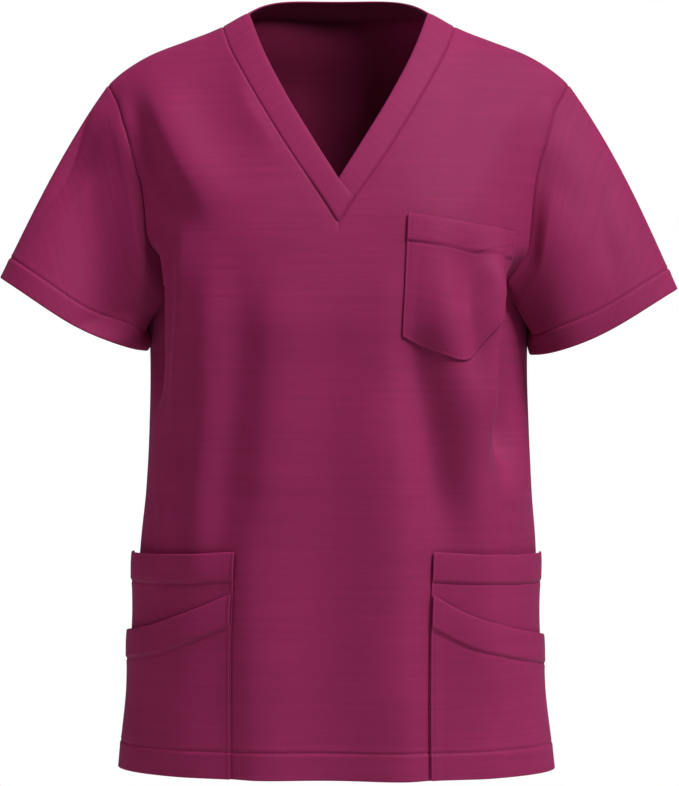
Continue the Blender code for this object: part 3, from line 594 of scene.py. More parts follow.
# ------------------------------------------------------------ materials
def cloth_material(name, colour):
    m = bpy.data.materials.new(name)
    m.use_nodes = True
    nt = m.node_tree
    n, links = nt.nodes, nt.links
    shader = n["Principled BSDF"]
    shader.inputs["Roughness"].default_value = 0.56
    shader.inputs["Metallic"].default_value = 0.0
    shader.inputs["IOR"].default_value = 1.46
    shader.inputs["Specular IOR Level"].default_value = 0.16
    shader.inputs["Sheen Weight"].default_value = 0.07
    shader.inputs["Sheen Roughness"].default_value = 0.36
    shader.inputs["Sheen Tint"].default_value = (0.80, 0.62, 1.0, 1.0)
    uvn = n.new("ShaderNodeUVMap")
    uvn.uv_map = "Cloth"

    def mapped(scale):
        mp = n.new("ShaderNodeMapping")
        mp.inputs["Scale"].default_value = scale
        links.new(uvn.outputs["UV"], mp.inputs["Vector"])
        return mp.outputs["Vector"]

    def noise(scale, detail, rough):
        t = n.new("ShaderNodeTexNoise")
        t.inputs["Scale"].default_value = 1.0
        t.inputs["Detail"].default_value = detail
        t.inputs["Roughness"].default_value = rough
        links.new(mapped(scale), t.inputs["Vector"])
        return t.outputs["Fac"]

    def ramp(source, lo, hi, out_lo, out_hi):
        r = n.new("ShaderNodeMapRange")
        for key, v in (("From Min", lo), ("From Max", hi), ("To Min", out_lo), ("To Max", out_hi)):
            r.inputs[key].default_value = v
        links.new(source, r.inputs["Value"])
        return r.outputs["Result"]

    def mathn(op, a, b):
        q = n.new("ShaderNodeMath")
        q.operation = op
        for k, v in enumerate((a, b)):
            if isinstance(v, float):
                q.inputs[k].default_value = v
            else:
                links.new(v, q.inputs[k])
        return q.outputs["Value"]

    def wave(scale, direction):
        w = n.new("ShaderNodeTexWave")
        w.wave_type = "BANDS"
        w.bands_direction = direction
        w.wave_profile = "SIN"
        w.inputs["Scale"].default_value = 1.0
        w.inputs["Distortion"].default_value = 0.6
        w.inputs["Detail"].default_value = 1.0
        w.inputs["Detail Scale"].default_value = 1.5
        links.new(mapped(scale), w.inputs["Vector"])
        return w.outputs["Fac"]

    ripple = noise((9.0, 210.0, 1.0), 2.0, 0.5)        # faint lines across the cloth
    slub = noise((60.0, 900.0, 1.0), 2.0, 0.6)         # uneven yarns
    mottle = noise((14.0, 11.0, 1.0), 3.0, 0.55)
    warp = wave((340.0, 1.0, 1.0), "X")
    weft = wave((1.0, 300.0, 1.0), "Y")
    weave = mathn("ADD", warp, weft)
    tone = mathn("ADD", ramp(ripple, 0.3, 0.7, -0.5, 0.5), ramp(mottle, 0.3, 0.7, -0.5, 0.5))
    tone = mathn("ADD", tone, ramp(slub, 0.3, 0.7, -0.35, 0.35))
    fac = ramp(tone, -1.2, 1.2, 0.0, 1.0)
    mix = n.new("ShaderNodeMix")
    mix.data_type = "RGBA"
    dark = tuple(c * 0.87 for c in colour)
    light = tuple(min(1.0, c * 1.12) for c in colour)
    mix.inputs[6].default_value = (*dark, 1)
    mix.inputs[7].default_value = (*light, 1)
    links.new(fac, mix.inputs[0])
    # painted shade: the inner layer of the cloth is drawn in a darker, more saturated colour, standing in for the
    # shade inside the garment
    split_uv = n.new("ShaderNodeSeparateXYZ")
    links.new(uvn.outputs["UV"], split_uv.inputs["Vector"])
    inside_shade_mask = mathn("GREATER_THAN", split_uv.outputs["X"], INSIDE / 2)
    painted_inside_shade = n.new("ShaderNodeMix")
    painted_inside_shade.data_type = "RGBA"
    # painted shade: the inner layer's colour is the cloth colour darkened
    painted_inside_shade.inputs[7].default_value = (*(c * f for c, f in zip(colour, (0.64, 0.42, 0.52))), 1)
    links.new(inside_shade_mask, painted_inside_shade.inputs[0])
    links.new(mix.outputs[2], painted_inside_shade.inputs[6])
    links.new(painted_inside_shade.outputs[2], shader.inputs["Base Color"])
    bump1 = n.new("ShaderNodeBump")
    bump1.inputs["Strength"].default_value = 0.35
    bump1.inputs["Distance"].default_value = 0.0004
    links.new(mathn("ADD", ripple, mathn("MULTIPLY", slub, 0.35)), bump1.inputs["Height"])
    bump2 = n.new("ShaderNodeBump")
    bump2.inputs["Strength"].default_value = 0.25
    bump2.inputs["Distance"].default_value = 0.00008
    links.new(weave, bump2.inputs["Height"])
    links.new(bump1.outputs["Normal"], bump2.inputs["Normal"])
    links.new(bump2.outputs["Normal"], shader.inputs["Normal"])
    links.new(ramp(slub, 0.3, 0.7, 0.64, 0.74), shader.inputs["Roughness"])
    return m


BODY = cloth_material("scrub_body_cloth", (0.262, 0.0185, 0.088))
BAND = cloth_material("scrub_band_cloth", (0.268, 0.0190, 0.090))
POCKET = cloth_material("scrub_pocket_cloth", (0.264, 0.0187, 0.089))


def finish_piece(ob, nodes, material):
    ob.data.materials.append(material)
    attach(ob, "root")
    if nodes:
        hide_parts(*nodes)
    return ob


# ------------------------------------------------------------ shared helpers
def near(points, line):
    """Distance from points to a line of points."""
    flat = points.reshape(-1, 3)
    best = np.full(len(flat), 1e9)
    for a, b in zip(line[:-1], line[1:]):
        d = b - a
        u = np.clip(((flat - a) @ d) / (d @ d + 1e-18), 0, 1)
        gap = flat - (a + u[:, None] * d)
        best = np.minimum(best, (gap**2).sum(1))
    return np.sqrt(best).reshape(points.shape[:-1])


def run_of(line):
    return np.concatenate([[0], np.cumsum(np.linalg.norm(np.diff(line, axis=0), axis=1))])


def along(line, at):
    """Points of a line of points at distances along it."""
    run = run_of(line)
    return np.stack([np.interp(at, run, line[:, k]) for k in range(line.shape[1])], -1)


def grid_normals(points, sign, wrap=False):
    if wrap:
        padded = np.concatenate([points[:, -1:], points, points[:, :1]], 1)
        across = np.gradient(padded, axis=1)[:, 1:-1]
    else:
        across = np.gradient(points, axis=1)
    up = np.gradient(points, axis=0)
    return unit(np.cross(across, up) * sign)


def cloth_grid(name, mid, normal, lift, thick, flip, uv, rounds=(0, 0, 0, 0), wrap=False, hung=True):
    """A cloth shell on a grid. rounds are how far the rim swells out at the
    first row, the last row, the first column and the last column."""
    rows, cols = mid.shape[:2]
    outer = mid + normal * (CLOTH / 2 + lift)[..., None]
    inner = outer - normal * thick[..., None]
    idx = np.arange(rows * cols).reshape(rows, cols)
    bulge = np.zeros((rows, cols))
    for value, where in zip(rounds, ((0, slice(None)), (-1, slice(None)), (slice(None), 0), (slice(None), -1))):
        bulge[where] = np.maximum(bulge[where], value)
    if wrap:
        idx = np.concatenate([idx, idx[:, :1]], 1)
    ob = build_mesh(
        name, outer.reshape(-1, 3), inner.reshape(-1, 3), grid_faces(idx, flip), bulge.ravel(), uv.reshape(-1, 2), hung
    )
    return ob, outer


STITCH = ((-1.0, -0.00030, 0.45), (-0.62, 0.00008, 1.0), (0.0, 0.00012, 1.0), (0.62, 0.00008, 1.0), (1.0, -0.00030, 0.45))


def stitch_rows(name, lines, material, hung=True, pitch=0.0032, size=0.0023, thread=0.00023):
    """One short thread for each stitch, along each (points, normals) line."""
    verts, faces = [], []
    count = 0
    sides = 5
    for pts, nrm in lines:
        run = run_of(pts)
        n = int(run[-1] / pitch)
        at = (np.arange(n) + 0.5) * (run[-1] / max(n, 1))
        centre = along(pts, at)
        ahead = unit(along(pts, np.minimum(at + 0.001, run[-1])) - along(pts, np.maximum(at - 0.001, 0)))
        up = unit(np.stack([np.interp(at, run, nrm[:, k]) for k in range(3)], -1))
        aside = unit(np.cross(ahead, up))
        for t, rise, wide in STITCH:
            ring_centre = centre + ahead * (t * size / 2) + up * (rise + thread * 0.4)
            for k in range(sides):
                a = 2 * math.pi * k / sides
                verts.append(ring_centre + (aside * math.cos(a) + up * math.sin(a) * 0.8) * thread * wide)
        rings = len(STITCH)
        block = count + np.arange(rings * sides * n).reshape(rings, sides, n)
        for i in range(n):
            for r in range(rings - 1):
                for k in range(sides):
                    m = (k + 1) % sides
                    faces.append((int(block[r, k, i]), int(block[r + 1, k, i]), int(block[r + 1, m, i]), int(block[r, m, i])))
            faces.append(tuple(int(block[0, k, i]) for k in range(sides)))
            faces.append(tuple(int(block[rings - 1, k, i]) for k in reversed(range(sides))))
        count += rings * sides * n
    allv = np.concatenate(verts)
    if hung:
        allv = hang(allv)
    mesh = bpy.data.meshes.new(name)
    mesh.from_pydata([tuple(p) for p in allv.tolist()], [], faces)
    mesh.update()
    layer = mesh.uv_layers.new(name="Cloth")
    loops = np.zeros(len(mesh.loops), np.int32)
    mesh.loops.foreach_get("vertex_index", loops)
    layer.data.foreach_set("uv", allv[loops][:, (0, 2)].astype(np.float32).ravel())
    mesh.shade_smooth()
    ob = bpy.data.objects.new(name, mesh)
    bpy.context.scene.collection.objects.link(ob)
    return finish_piece(ob, (), material)


# ------------------------------------------------------------ body panels
CLOSE = [0.0, 0.0004, 0.0009, 0.0015, 0.0023, 0.0034, 0.0050]
HEM_ROWS = [0.0010, 0.0022, 0.0045, 0.0085, 0.0135, 0.0178, 0.0202, 0.0215, 0.0223, 0.0229, 0.0235, 0.0241, 0.0247, 0.0255, 0.0266, 0.0284, 0.0312]
HEM_STITCH = HEM_DEPTH - 0.0010
APART = 0.0036


def spaced_fixed(length, first, last, count):
    """count places from 0 to length, with the close ones at the ends."""
    a, b = list(first), [length - v for v in last][::-1]
    n = count - len(a) - len(b)
    if a:
        inner = np.linspace(a[-1], b[0], n + 2)[1:-1]
    else:
        inner = np.linspace(0.0, b[0], n + 1)[:-1]
    return np.array(a + list(inner) + b)


def body_levels():
    low = [HEM_Z + v for v in HEM_ROWS]
    n = int(round((UNDERARM_Z - low[-1]) / APART))
    low += list(np.linspace(low[-1], UNDERARM_Z, n + 1)[1:])
    low = [(z - UNDERARM_Z) / (UNDERARM_Z - HEM_Z) for z in low]
    u = np.linspace(1, 0, 84)[1:-1]
    up = list(FLAT_RISES) + [v for v in 1 - u**2 if v > 0.021] + [1 - 0.0075**2, 1 - 0.0035**2, 1.0]
    k = int(np.argmin(np.abs(np.array(up) - V_RISE)))
    up[k] = V_RISE
    return np.array(low + up)


def hem_lift(h, stitch):
    """How a turned-up hem stands proud and its stitch line sinks in."""
    proud = 0.00055 * (1 - step((h - stitch + 0.0004) / 0.0016))
    return proud + stitched(h - stitch, 0.00085, 0.0009)


def hem_thick(h, depth):
    return CLOTH * (1 + 1.0 * (1 - step((h - depth) / 0.0012)))


CROSS_RISE = float(rise_of(CROSS_Z, 0.0128))
ARM_LEVELS = np.array([0.0, 0.005, 0.020, 0.085, 0.19, 0.29, 0.405, 0.51, 0.62, 0.73, 0.83, 0.91, 0.965, 1.0])
arm_u = curve(np.arange(14), np.sqrt(1 - ARM_LEVELS))
ARM_TURNS = np.linspace(0, math.pi, 2001)
ARM_TURN_LEVELS = 1 - arm_u(13 * (1 - ARM_TURNS / math.pi)) ** 2


def start_direction(side, turn):
    """Where a sleeve sets off to from the armhole. turn is 0 at the shoulder,
    pi at the underarm, and runs on round the back."""
    cosine, sine = np.cos(turn), np.sin(turn)
    one = np.ones_like(cosine)
    top, mid, low = np.maximum(cosine, 0) ** 1.5, np.abs(sine), np.maximum(-cosine, 0) ** 1.5
    return unit(
        top[:, None] * np.array([0.58 * side, 0, -0.82])
        + mid[:, None] * np.stack([0.80 * side * one, -0.10 * np.sign(np.round(sine, 9)), -0.60 * one], -1)
        + low[:, None] * np.array([0.14 * side, 0, -0.99])
    )


def shared_normal(side, is_back, level, own):
    """The direction across the cloth that the body and the sleeve share at
    levels of the armhole. own are the body's normals there."""
    near_by = (back if is_back else front)[side]
    one = np.ones_like(level)
    line = near_by.at(np.clip(level + 0.004, 0, 1), one) - near_by.at(np.clip(level - 0.004, 0, 1), one)
    turn = np.interp(-level, -ARM_TURN_LEVELS, ARM_TURNS)
    if is_back:
        turn = 2 * math.pi - turn
    n = unit(np.cross(line, start_direction(side, turn)))
    n = n * np.sign((n * own).sum(-1, keepdims=True))
    return unit(n + own)


def body_piece(name, pair, is_back):
    levels = body_levels()
    v_row = int(np.argmin(np.abs(levels - V_RISE)))
    first = [] if is_back else CLOSE
    rows, cols = len(levels), int(round(0.222 / APART)) + len(CLOSE) + len(first)
    index, lines = {}, {}
    total = 0
    outer_all, inner_all, uv_all, faces, bulge_all = [], [], [], [], []
    for side in (1, -1):
        p = pair[side]
        length = np.interp(levels, DENSE, p.length)
        sh = np.array([spaced_fixed(L, first, CLOSE, cols) / L for L in length])
        lv = np.repeat(levels[:, None], cols, 1)
        pts = p.at(lv, sh)
        nrm = unit(p.at(lv, sh, p.normal))
        run = p.at(lv, sh, p.run)
        z = pts[..., 2]
        arm = levels > 0
        common = shared_normal(side, is_back, levels[arm], nrm[arm, -1])
        pull = (1 - step((run[arm, -1:] - run[arm]) / 0.0045))[..., None]
        nrm[arm] = unit(nrm[arm] * (1 - pull) + common[:, None] * pull)
        off = groove(run[:, -1:] - run)
        steps = np.linalg.norm(np.diff(pts, axis=0), axis=-1)
        to_top = np.concatenate([np.cumsum(steps[::-1], axis=0)[::-1], np.zeros((1, cols))])
        off = np.minimum(off, groove(to_top))
        if not is_back:
            seam = p.at(np.linspace(V_RISE, 1, 160), np.zeros(160))
            upper = slice(max(v_row - 4, 0), rows)
            off[upper] = np.minimum(off[upper], groove(near(pts[upper], seam)))
        h = z - HEM_Z
        off = off + hem_lift(h, HEM_STITCH)
        thick = hem_thick(h, HEM_DEPTH)
        outer = pts + nrm * (CLOTH / 2 + off)[..., None]
        inner = outer - nrm * thick[..., None]
        lines[side] = (outer, nrm)
        idx = np.arange(rows * cols).reshape(rows, cols) + total
        if side == -1:
            shared = rows if is_back else v_row + 1
            idx[:shared, 0] = index[1][:shared, 0]
        index[side] = idx
        outer_all.append(outer.reshape(-1, 3))
        inner_all.append(inner.reshape(-1, 3))
        uv_all.append(np.stack([side * run, z], -1).reshape(-1, 2))
        b = np.zeros((rows, cols))
        b[0, :] = CLOTH
        bulge_all.append(b.ravel())
        total += rows * cols
        faces += grid_faces(idx, (side < 0) != is_back)
    outer, inner = np.concatenate(outer_all), np.concatenate(inner_all)
    uv, bulge = np.concatenate(uv_all), np.concatenate(bulge_all)
    used = np.unique(np.array([k for f in faces for k in f]))
    remap = -np.ones(len(outer), int)
    remap[used] = np.arange(len(used))
    faces = [tuple(int(remap[k]) for k in f) for f in faces]
    return build_mesh(name, outer[used], inner[used], faces, bulge[used], uv[used]), lines


front_cloth, front_lines = body_piece("front_cloth", front, False)
back_cloth, back_lines = body_piece("back_cloth", back, True)
finish_piece(front_cloth, ["body_front"], BODY)
finish_piece(back_cloth, ["body_back"], BODY)

hem_row = HEM_ROWS.index(0.0229)
half_front = []
for side in (1, -1):
    outer, nrm = front_lines[side]
    line, up = outer[hem_row], nrm[hem_row]
    keep = run_of(line) < POCKET_INNER
    half_front.append((line[keep], up[keep]))
centre = (np.concatenate([half_front[1][0][::-1], half_front[0][0][1:]]), np.concatenate([half_front[1][1][::-1], half_front[0][1][1:]]))
stitch_rows("front_hem_stitches", [centre], BODY)
a, b = back_lines[-1], back_lines[1]
stitch_rows(
    "back_hem_stitches",
    [(np.concatenate([a[0][hem_row][::-1], b[0][hem_row][1:]]), np.concatenate([a[1][hem_row][::-1], b[1][hem_row][1:]]))],
    BODY,
)


# ------------------------------------------------------------ sleeves
CUFF_ROWS = [0.0009, 0.0020, 0.0042, 0.0080, 0.0125, 0.0158, 0.0175, 0.0184, 0.0190, 0.0196, 0.0202, 0.0208, 0.0216, 0.0227, 0.0245, 0.0275]
CUFF_STITCH = 0.0196


def sleeve_piece(name, side):
    outer_x, outer_z, inner_x, inner_z, deep, sag, forward = SLEEVES[side]
    outer = np.array([outer_x * side, forward, outer_z])
    inner = np.array([inner_x * side, forward * 0.4, inner_z])
    centre, wide = (outer + inner) / 2, (outer - inner) / 2
    down = unit(np.cross(wide, (0, 1, 0)) * -side)
    if down[2] > 0:
        down = -down
    count = 136
    turn = 2 * math.pi * np.arange(count) / count
    k = np.where(turn <= math.pi, 13 * (1 - turn / math.pi), 13 * (turn / math.pi - 1))
    level = 1 - arm_u(k) ** 2
    one = np.ones(count)
    p = np.where((turn <= math.pi)[:, None], front[side].at(level, one), back[side].at(level, one))
    cosine, sine = np.cos(turn), np.sin(turn)
    low_side = sine**2 * (1 - 0.70 * cosine)
    cuff = centre + wide * cosine[:, None] + np.array([0, -deep, 0]) * sine[:, None] + down * (sag * low_side)[:, None]
    start = start_direction(side, turn)
    length = np.linalg.norm(cuff - p, axis=1)[:, None]

    def surface(t):
        t = t[..., None]
        return (
            p * (2 * t**3 - 3 * t**2 + 1)
            + start * length * (t**3 - 2 * t**2 + t)
            + cuff * (3 * t**2 - 2 * t**3)
            + down * length * (t**3 - t**2)
        )

    fine = np.repeat(np.linspace(0, 1, 81)[:, None], count, 1)
    dense = surface(fine)
    run = np.concatenate([np.zeros((1, count)), np.cumsum(np.linalg.norm(np.diff(dense, axis=0), axis=-1), axis=0)])
    rows = 72
    places = np.stack([spaced_fixed(run[-1, m], CLOSE, CUFF_ROWS, rows) for m in range(count)], 1)
    t = np.stack([np.interp(places[:, m], run[:, m], fine[:, m]) for m in range(count)], 1)
    pts = surface(t)
    sign = side
    nrm = grid_normals(pts, sign, wrap=True)
    height = np.zeros(pts.shape[:2])
    for who, on, x1, z1, x2, z2, x3, z3, wa, wb, depth, f1, f2 in SLEEVE_CREASES:
        if who != side:
            continue
        facing = step((-nrm[..., 1] if on == "front" else nrm[..., 1]) / 0.45)
        path = [(x1 / 1000, z1 / 1000), (x2 / 1000, z2 / 1000), (x3 / 1000, z3 / 1000)]
        height += facing * crease_height(pts[..., 0], pts[..., 2], path, wa / 1000, wb / 1000, depth / 1000, f1, f2)
    to_arm = places
    to_cuff = run[-1][None, :] - places
    height *= step(to_arm / 0.020)
    pts = pts + nrm * height[..., None]
    nrm = grid_normals(pts, sign, wrap=True)
    own = np.where((turn <= math.pi)[:, None], front[side].at(level, one, front[side].normal), back[side].at(level, one, back[side].normal))
    common = np.where(
        (turn <= math.pi)[:, None],
        shared_normal(side, False, level, unit(own)),
        shared_normal(side, True, level, unit(own)),
    )
    pull = (1 - step(to_arm / 0.0045))[..., None]
    nrm = unit(nrm * (1 - pull) + common[None] * pull)
    lift = groove(to_arm) + hem_lift(to_cuff, CUFF_STITCH)
    thick = hem_thick(to_cuff, CUFF_DEPTH)
    around = np.cumsum(np.concatenate([[0], np.linalg.norm(np.diff(cuff, axis=0), axis=1)]))
    uv = np.stack([np.repeat(around[None, :], rows, 0), -to_arm], -1)
    ob, outside = cloth_grid(name, pts, nrm, lift, thick, side < 0, uv, (0, CLOTH, 0, 0), wrap=True, hung=False)
    row = rows - 1 - CUFF_ROWS.index(0.0196)
    line = np.concatenate([outside[row], outside[row][:1]])
    up = np.concatenate([nrm[row], nrm[row][:1]])
    return ob, (line, up)


for name, node, side in (("sleeve_left_cloth", "sleeve_left", 1), ("sleeve_right_cloth", "sleeve_right", -1)):
    ob, line = sleeve_piece(name, side)
    finish_piece(ob, [node], BODY)
    stitch_rows(node + "_stitches", [line], BODY, hung=False)


# ------------------------------------------------------------ neckbands
def front_y(x, z):
    x = np.abs(x)
    level = np.clip(rise_of(z, x), 0.0, 1.0)
    half, n = up_half(level), up_square(level)
    deep = up_front(level) * np.sqrt(np.maximum(1 - level, 0))
    return -deep * np.maximum(1 - (x / half) ** n, 0) ** (1 / n)


BAND_COLUMNS = np.array([0.0, 0.0004, 0.0009, 0.0015, 0.0023, 0.0034, 0.0050, 0.0080, 0.0110, 0.0140, 0.0165, 0.0185, 0.0200, 0.0211, 0.0219, 0.0225])


def band_piece(name, side):
    """The folded band along one side of the V. Both run on under or over the
    other one to the opposite seam; the wearer's right one is on top."""
    on_top = side < 0
    p = front[side]
    cross = {s: front[s].at(np.array([CROSS_RISE]), np.array([0.0]))[0] for s in (-1, 1)}
    apex = np.array([0.0, float(front_y(0.0, APEX_Z)), APEX_Z])
    low = p.at(np.linspace(V_RISE, CROSS_RISE, 60), np.zeros(60))
    high = p.at(1 - np.linspace(math.sqrt(1 - CROSS_RISE), 0, 400) ** 2, np.zeros(400))
    z = np.linspace(APEX_Z, float(shoulder_z(BAND_HALF)), 400)
    x = side * v_inner(z)
    edge = np.stack([x, front_y(x, z), z], -1)
    edge[-1, 1] = 0.0
    low_run, high_run, edge_run = run_of(low), run_of(high), run_of(edge)
    s_low = np.linspace(0, low_run[-1], 12)[:-1]
    s_high = spaced_fixed(high_run[-1], [], CLOSE, 92)
    seam = np.concatenate([along(low, s_low), along(high, s_high)])
    q = (s_low / low_run[-1])[:, None]
    ends = np.concatenate([cross[-side] * (1 - q) + apex * q, along(edge, s_high / high_run[-1] * edge_run[-1])])
    rows = len(seam)
    share = BAND_COLUMNS / BAND_COLUMNS[-1]
    mid = seam[:, None] * (1 - share[None, :, None]) + ends[:, None] * share[None, :, None]
    mid[..., 1] = front_y(mid[..., 0], mid[..., 2])
    mid[-1, :, 1] = 0.0
    nrm = grid_normals(mid, -side)
    across = share[None, :] * np.linalg.norm(ends - seam, axis=1)[:, None]
    reach = np.linalg.norm(ends - seam, axis=1)[:, None]
    down = np.concatenate([s_low, low_run[-1] + s_high])[:, None] * np.ones_like(across)
    total = down[-1, 0]
    past = down - low_run[-1]  # distance past the crossing
    lift = 0.00030 * np.maximum(np.sin(np.pi * across / reach), 0) ** 0.8
    lift = lift + groove(across, 0.0009, 0.0010)
    lift = lift - 0.0009 * np.exp(-(((total - down) / 0.0014) ** 2))
    # the inner fold rolls a little inwards
    lift = lift - 0.0003 * step((across / reach - 0.86) / 0.14) ** 2
    end_line = np.array([seam[0], cross[-side]])
    if on_top:
        over = 1 - step((past - 0.004) / 0.030)
        lift = lift + 0.00125 * over * step(near(mid, np.stack([low[0], cross[-side]])) / 0.004)
        # the edge of the band underneath shows faintly through
        hidden = near(mid, np.stack([cross[-1], apex]))
        beyond = step((past + 0.0) / 0.004)
        lift = lift - 0.00045 * np.exp(-((hidden / 0.0016) ** 2)) * step(across / 0.004)
        lift = lift - 0.0002 * beyond * over
    else:
        lift = lift - 0.0004 * (1 - step((past + 0.002) / 0.012)) - 0.0003 * (1 - step((past - 0.002) / 0.020))
    lift = lift + groove(near(mid, np.linspace(low[0], cross[-side], 8)), 0.0012 if on_top else 0.0002, 0.0014)
    thick = np.full_like(lift, CLOTH * 1.9)
    if not on_top:
        thick = thick * (1 - 0.45 * (1 - step((past + 0.004) / 0.010)))
    uv = np.stack([across, down * 1.0], -1)
    ob, outside = cloth_grid(name, mid, nrm, lift, thick, side > 0, uv, (0.0002, 0, 0, 0.0009))
    return ob


def band_back(name):
    count = 110
    angle = np.linspace(-math.pi / 2, math.pi / 2, count)
    x = NECK_HALF * np.sin(angle)
    seam = np.stack([x, back_neck_y(x), back_top_z(x)], -1)
    seam[0, 1] = seam[-1, 1] = 0.0
    run = run_of(seam)
    even = spaced_fixed(run[-1], CLOSE, CLOSE, count)
    angle = np.interp(even, run, angle)
    x = NECK_HALF * np.sin(angle)
    seam = np.stack([x, back_neck_y(x), back_top_z(x)], -1)
    y = BACK_BAND_DEPTH * np.maximum(np.cos(angle), 0) ** 0.9
    low = float(shoulder_z(BAND_HALF))
    top = np.stack([BAND_HALF * np.sin(angle), y, low + (BACK_BAND_RISE - low) * step(y / BACK_BAND_DEPTH)], -1)
    share = (BAND_COLUMNS / BAND_COLUMNS[-1])[None, :, None]
    mid = seam[:, None] * (1 - share) + top[:, None] * share
    bow = 0.0012 * np.sin(np.pi * share[..., 0]) * np.cos(angle)[:, None]
    flat = seam * (1, 1, 0)
    mid = mid + unit(flat)[:, None] * bow[..., None]
    mid[0, :, 1] = mid[-1, :, 1] = 0.0
    nrm = grid_normals(mid, 1)
    reach = np.linalg.norm(top - seam, axis=1)[:, None]
    across = share[..., 0] * reach
    ends = np.minimum(even, even[-1] - even)[:, None] * np.ones_like(across)
    lift = 0.0005 * np.maximum(np.sin(np.pi * across / reach), 0) ** 0.8 + groove(across, 0.0010, 0.0014)
    lift = lift - 0.0009 * np.exp(-((ends / 0.0014) ** 2))
    thick = np.full_like(lift, CLOTH * 1.9)
    uv = np.stack([across, even[:, None] * np.ones_like(across)], -1)
    ob, _ = cloth_grid(name, mid, nrm, lift, thick, False, uv, (0, 0, 0, 0.0009))
    return ob


finish_piece(band_piece("neckband_right_cloth", -1), ["neckband_front_right"], BAND)
finish_piece(band_piece("neckband_left_cloth", 1), ["neckband_front_left"], BAND)
finish_piece(band_back("neckband_back_cloth"), ["neckband_back"], BAND)


# ------------------------------------------------------------ chest pocket
EDGE_STITCH = 0.0023
EDGE = [0.0, 0.0008, 0.0015, 0.0020, 0.0026, 0.0033, 0.0045, 0.0070, 0.0085, 0.0098]
CHEST_BAND = 0.0228


def place_of(x, z):
    """Level and share of places on the wearer's left half of the front."""
    x, z = np.broadcast_arrays(np.asarray(x, float), np.asarray(z, float))
    p = front[1]
    level = np.where(z > UNDERARM_Z, rise_of(z, x), (z - UNDERARM_Z) / (UNDERARM_Z - HEM_Z))
    r = np.clip(index_of(level), 0, len(DENSE) - 1.000001)
    shares = np.linspace(0, 1, WIDE_N)
    out = np.empty(x.shape)
    for k in np.ndindex(x.shape):
        i = int(r[k])
        f = r[k] - i
        out[k] = (1 - f) * np.interp(x[k], p.base[i, :, 0], shares) + f * np.interp(x[k], p.base[i + 1, :, 0], shares)
    return level, out


def patch_lift(border, puff):
    """A patch is pressed flat where it is sewn down, a little proud inside."""
    turned = 0.00022 * (1 - step((border - 0.0080) / 0.0018))
    return turned + puff * step((border - 0.003) / 0.014) + stitched(border - EDGE_STITCH, 0.00022, 0.0009)


def chest_piece():
    k = {name: np.array(v) for name, v in CHEST_POCKET.items()}
    width, height = 0.094, 0.104
    us = spaced_fixed(width, EDGE, EDGE, 44) / width
    top_rows = [0.0, 0.0008, 0.0018, 0.0040, 0.0080, 0.0130, 0.0175, 0.0200, 0.0213, 0.0221, 0.0228, 0.0235, 0.0243, 0.0255, 0.0275]
    vs = spaced_fixed(height, top_rows, EDGE, 54) / height
    u, v = np.meshgrid(us, vs)
    top = k["top_inner"] * (1 - u[..., None]) + k["top_outer"] * u[..., None]
    top[..., 1] -= 0.0016 * np.sin(np.pi * u)
    low = np.where(
        (u <= 0.5)[..., None],
        k["low_inner"] * (1 - u[..., None] / 0.5) + k["point"] * (u[..., None] / 0.5),
        k["point"] * (2 - u[..., None] / 0.5) + k["low_outer"] * (u[..., None] / 0.5 - 1),
    )
    # the point is a little rounded
    low[..., 1] += 0.0030 * np.exp(-(((u - 0.5) / 0.045) ** 2))
    spot = top * (1 - v[..., None]) + low * v[..., None]
    level, share = place_of(spot[..., 0], spot[..., 1])
    p = front[1]
    mid = p.at(level, share)
    nrm = unit(p.at(level, share, p.normal))
    border = np.minimum.reduce([near(mid, mid[:, 0]), near(mid, mid[:, -1]), near(mid, mid[-1])])
    mouth = near(mid, mid[0])
    lift = CLOTH + 0.00060 + patch_lift(border, 0.0011)
    gape = np.maximum(np.sin(np.pi * u), 0) ** 0.7 * (1 - step(mouth / 0.040))
    lift = lift + 0.0013 * gape
    lift = lift + 0.00085 * (1 - step((mouth - CHEST_BAND + 0.0003) / 0.0013)) + stitched(mouth - CHEST_BAND, 0.00080, 0.0009)
    lift = lift + 0.0004 * np.maximum(np.sin(np.pi * np.clip(mouth / CHEST_BAND, 0, 1)), 0) ** 0.7
    thick = CLOTH * (1 + 0.9 * (1 - step((mouth - CHEST_BAND) / 0.0012)))
    thick = thick * (1 - 0.25 * (1 - step(border / 0.004)))
    uv = np.stack([u * width, -v * height], -1)
    ob, outside = cloth_grid("chest_pocket_cloth", mid, nrm, lift, thick, True, uv, (0.0008, 0.0007, 0.0007, 0.0007))
    band = top_rows.index(0.0228)
    e = EDGE.index(0.0020)
    inner = slice(2, len(vs) - e)
    lines = [
        (outside[band, 3:-3], nrm[band, 3:-3]),
        (outside[2:-e, e], nrm[2:-e, e]),
        (outside[2:-e, -1 - e], nrm[2:-e, -1 - e]),
        (outside[-1 - e, e:-e], nrm[-1 - e, e:-e]),
    ]
    return ob, lines


ob, lines = chest_piece()
finish_piece(ob, ["chest_pocket"], POCKET)
stitch_rows("chest_pocket_stitches", lines, POCKET)

# ------------------------------------------------------------ lower pockets
POCKET_TOP_ROWS = [0.0, 0.0008, 0.0018, 0.0040, 0.0085, 0.0140, 0.0188, 0.0214, 0.0228, 0.0236, BAND_DEPTH, 0.0248, 0.0257, 0.0270, 0.0290]


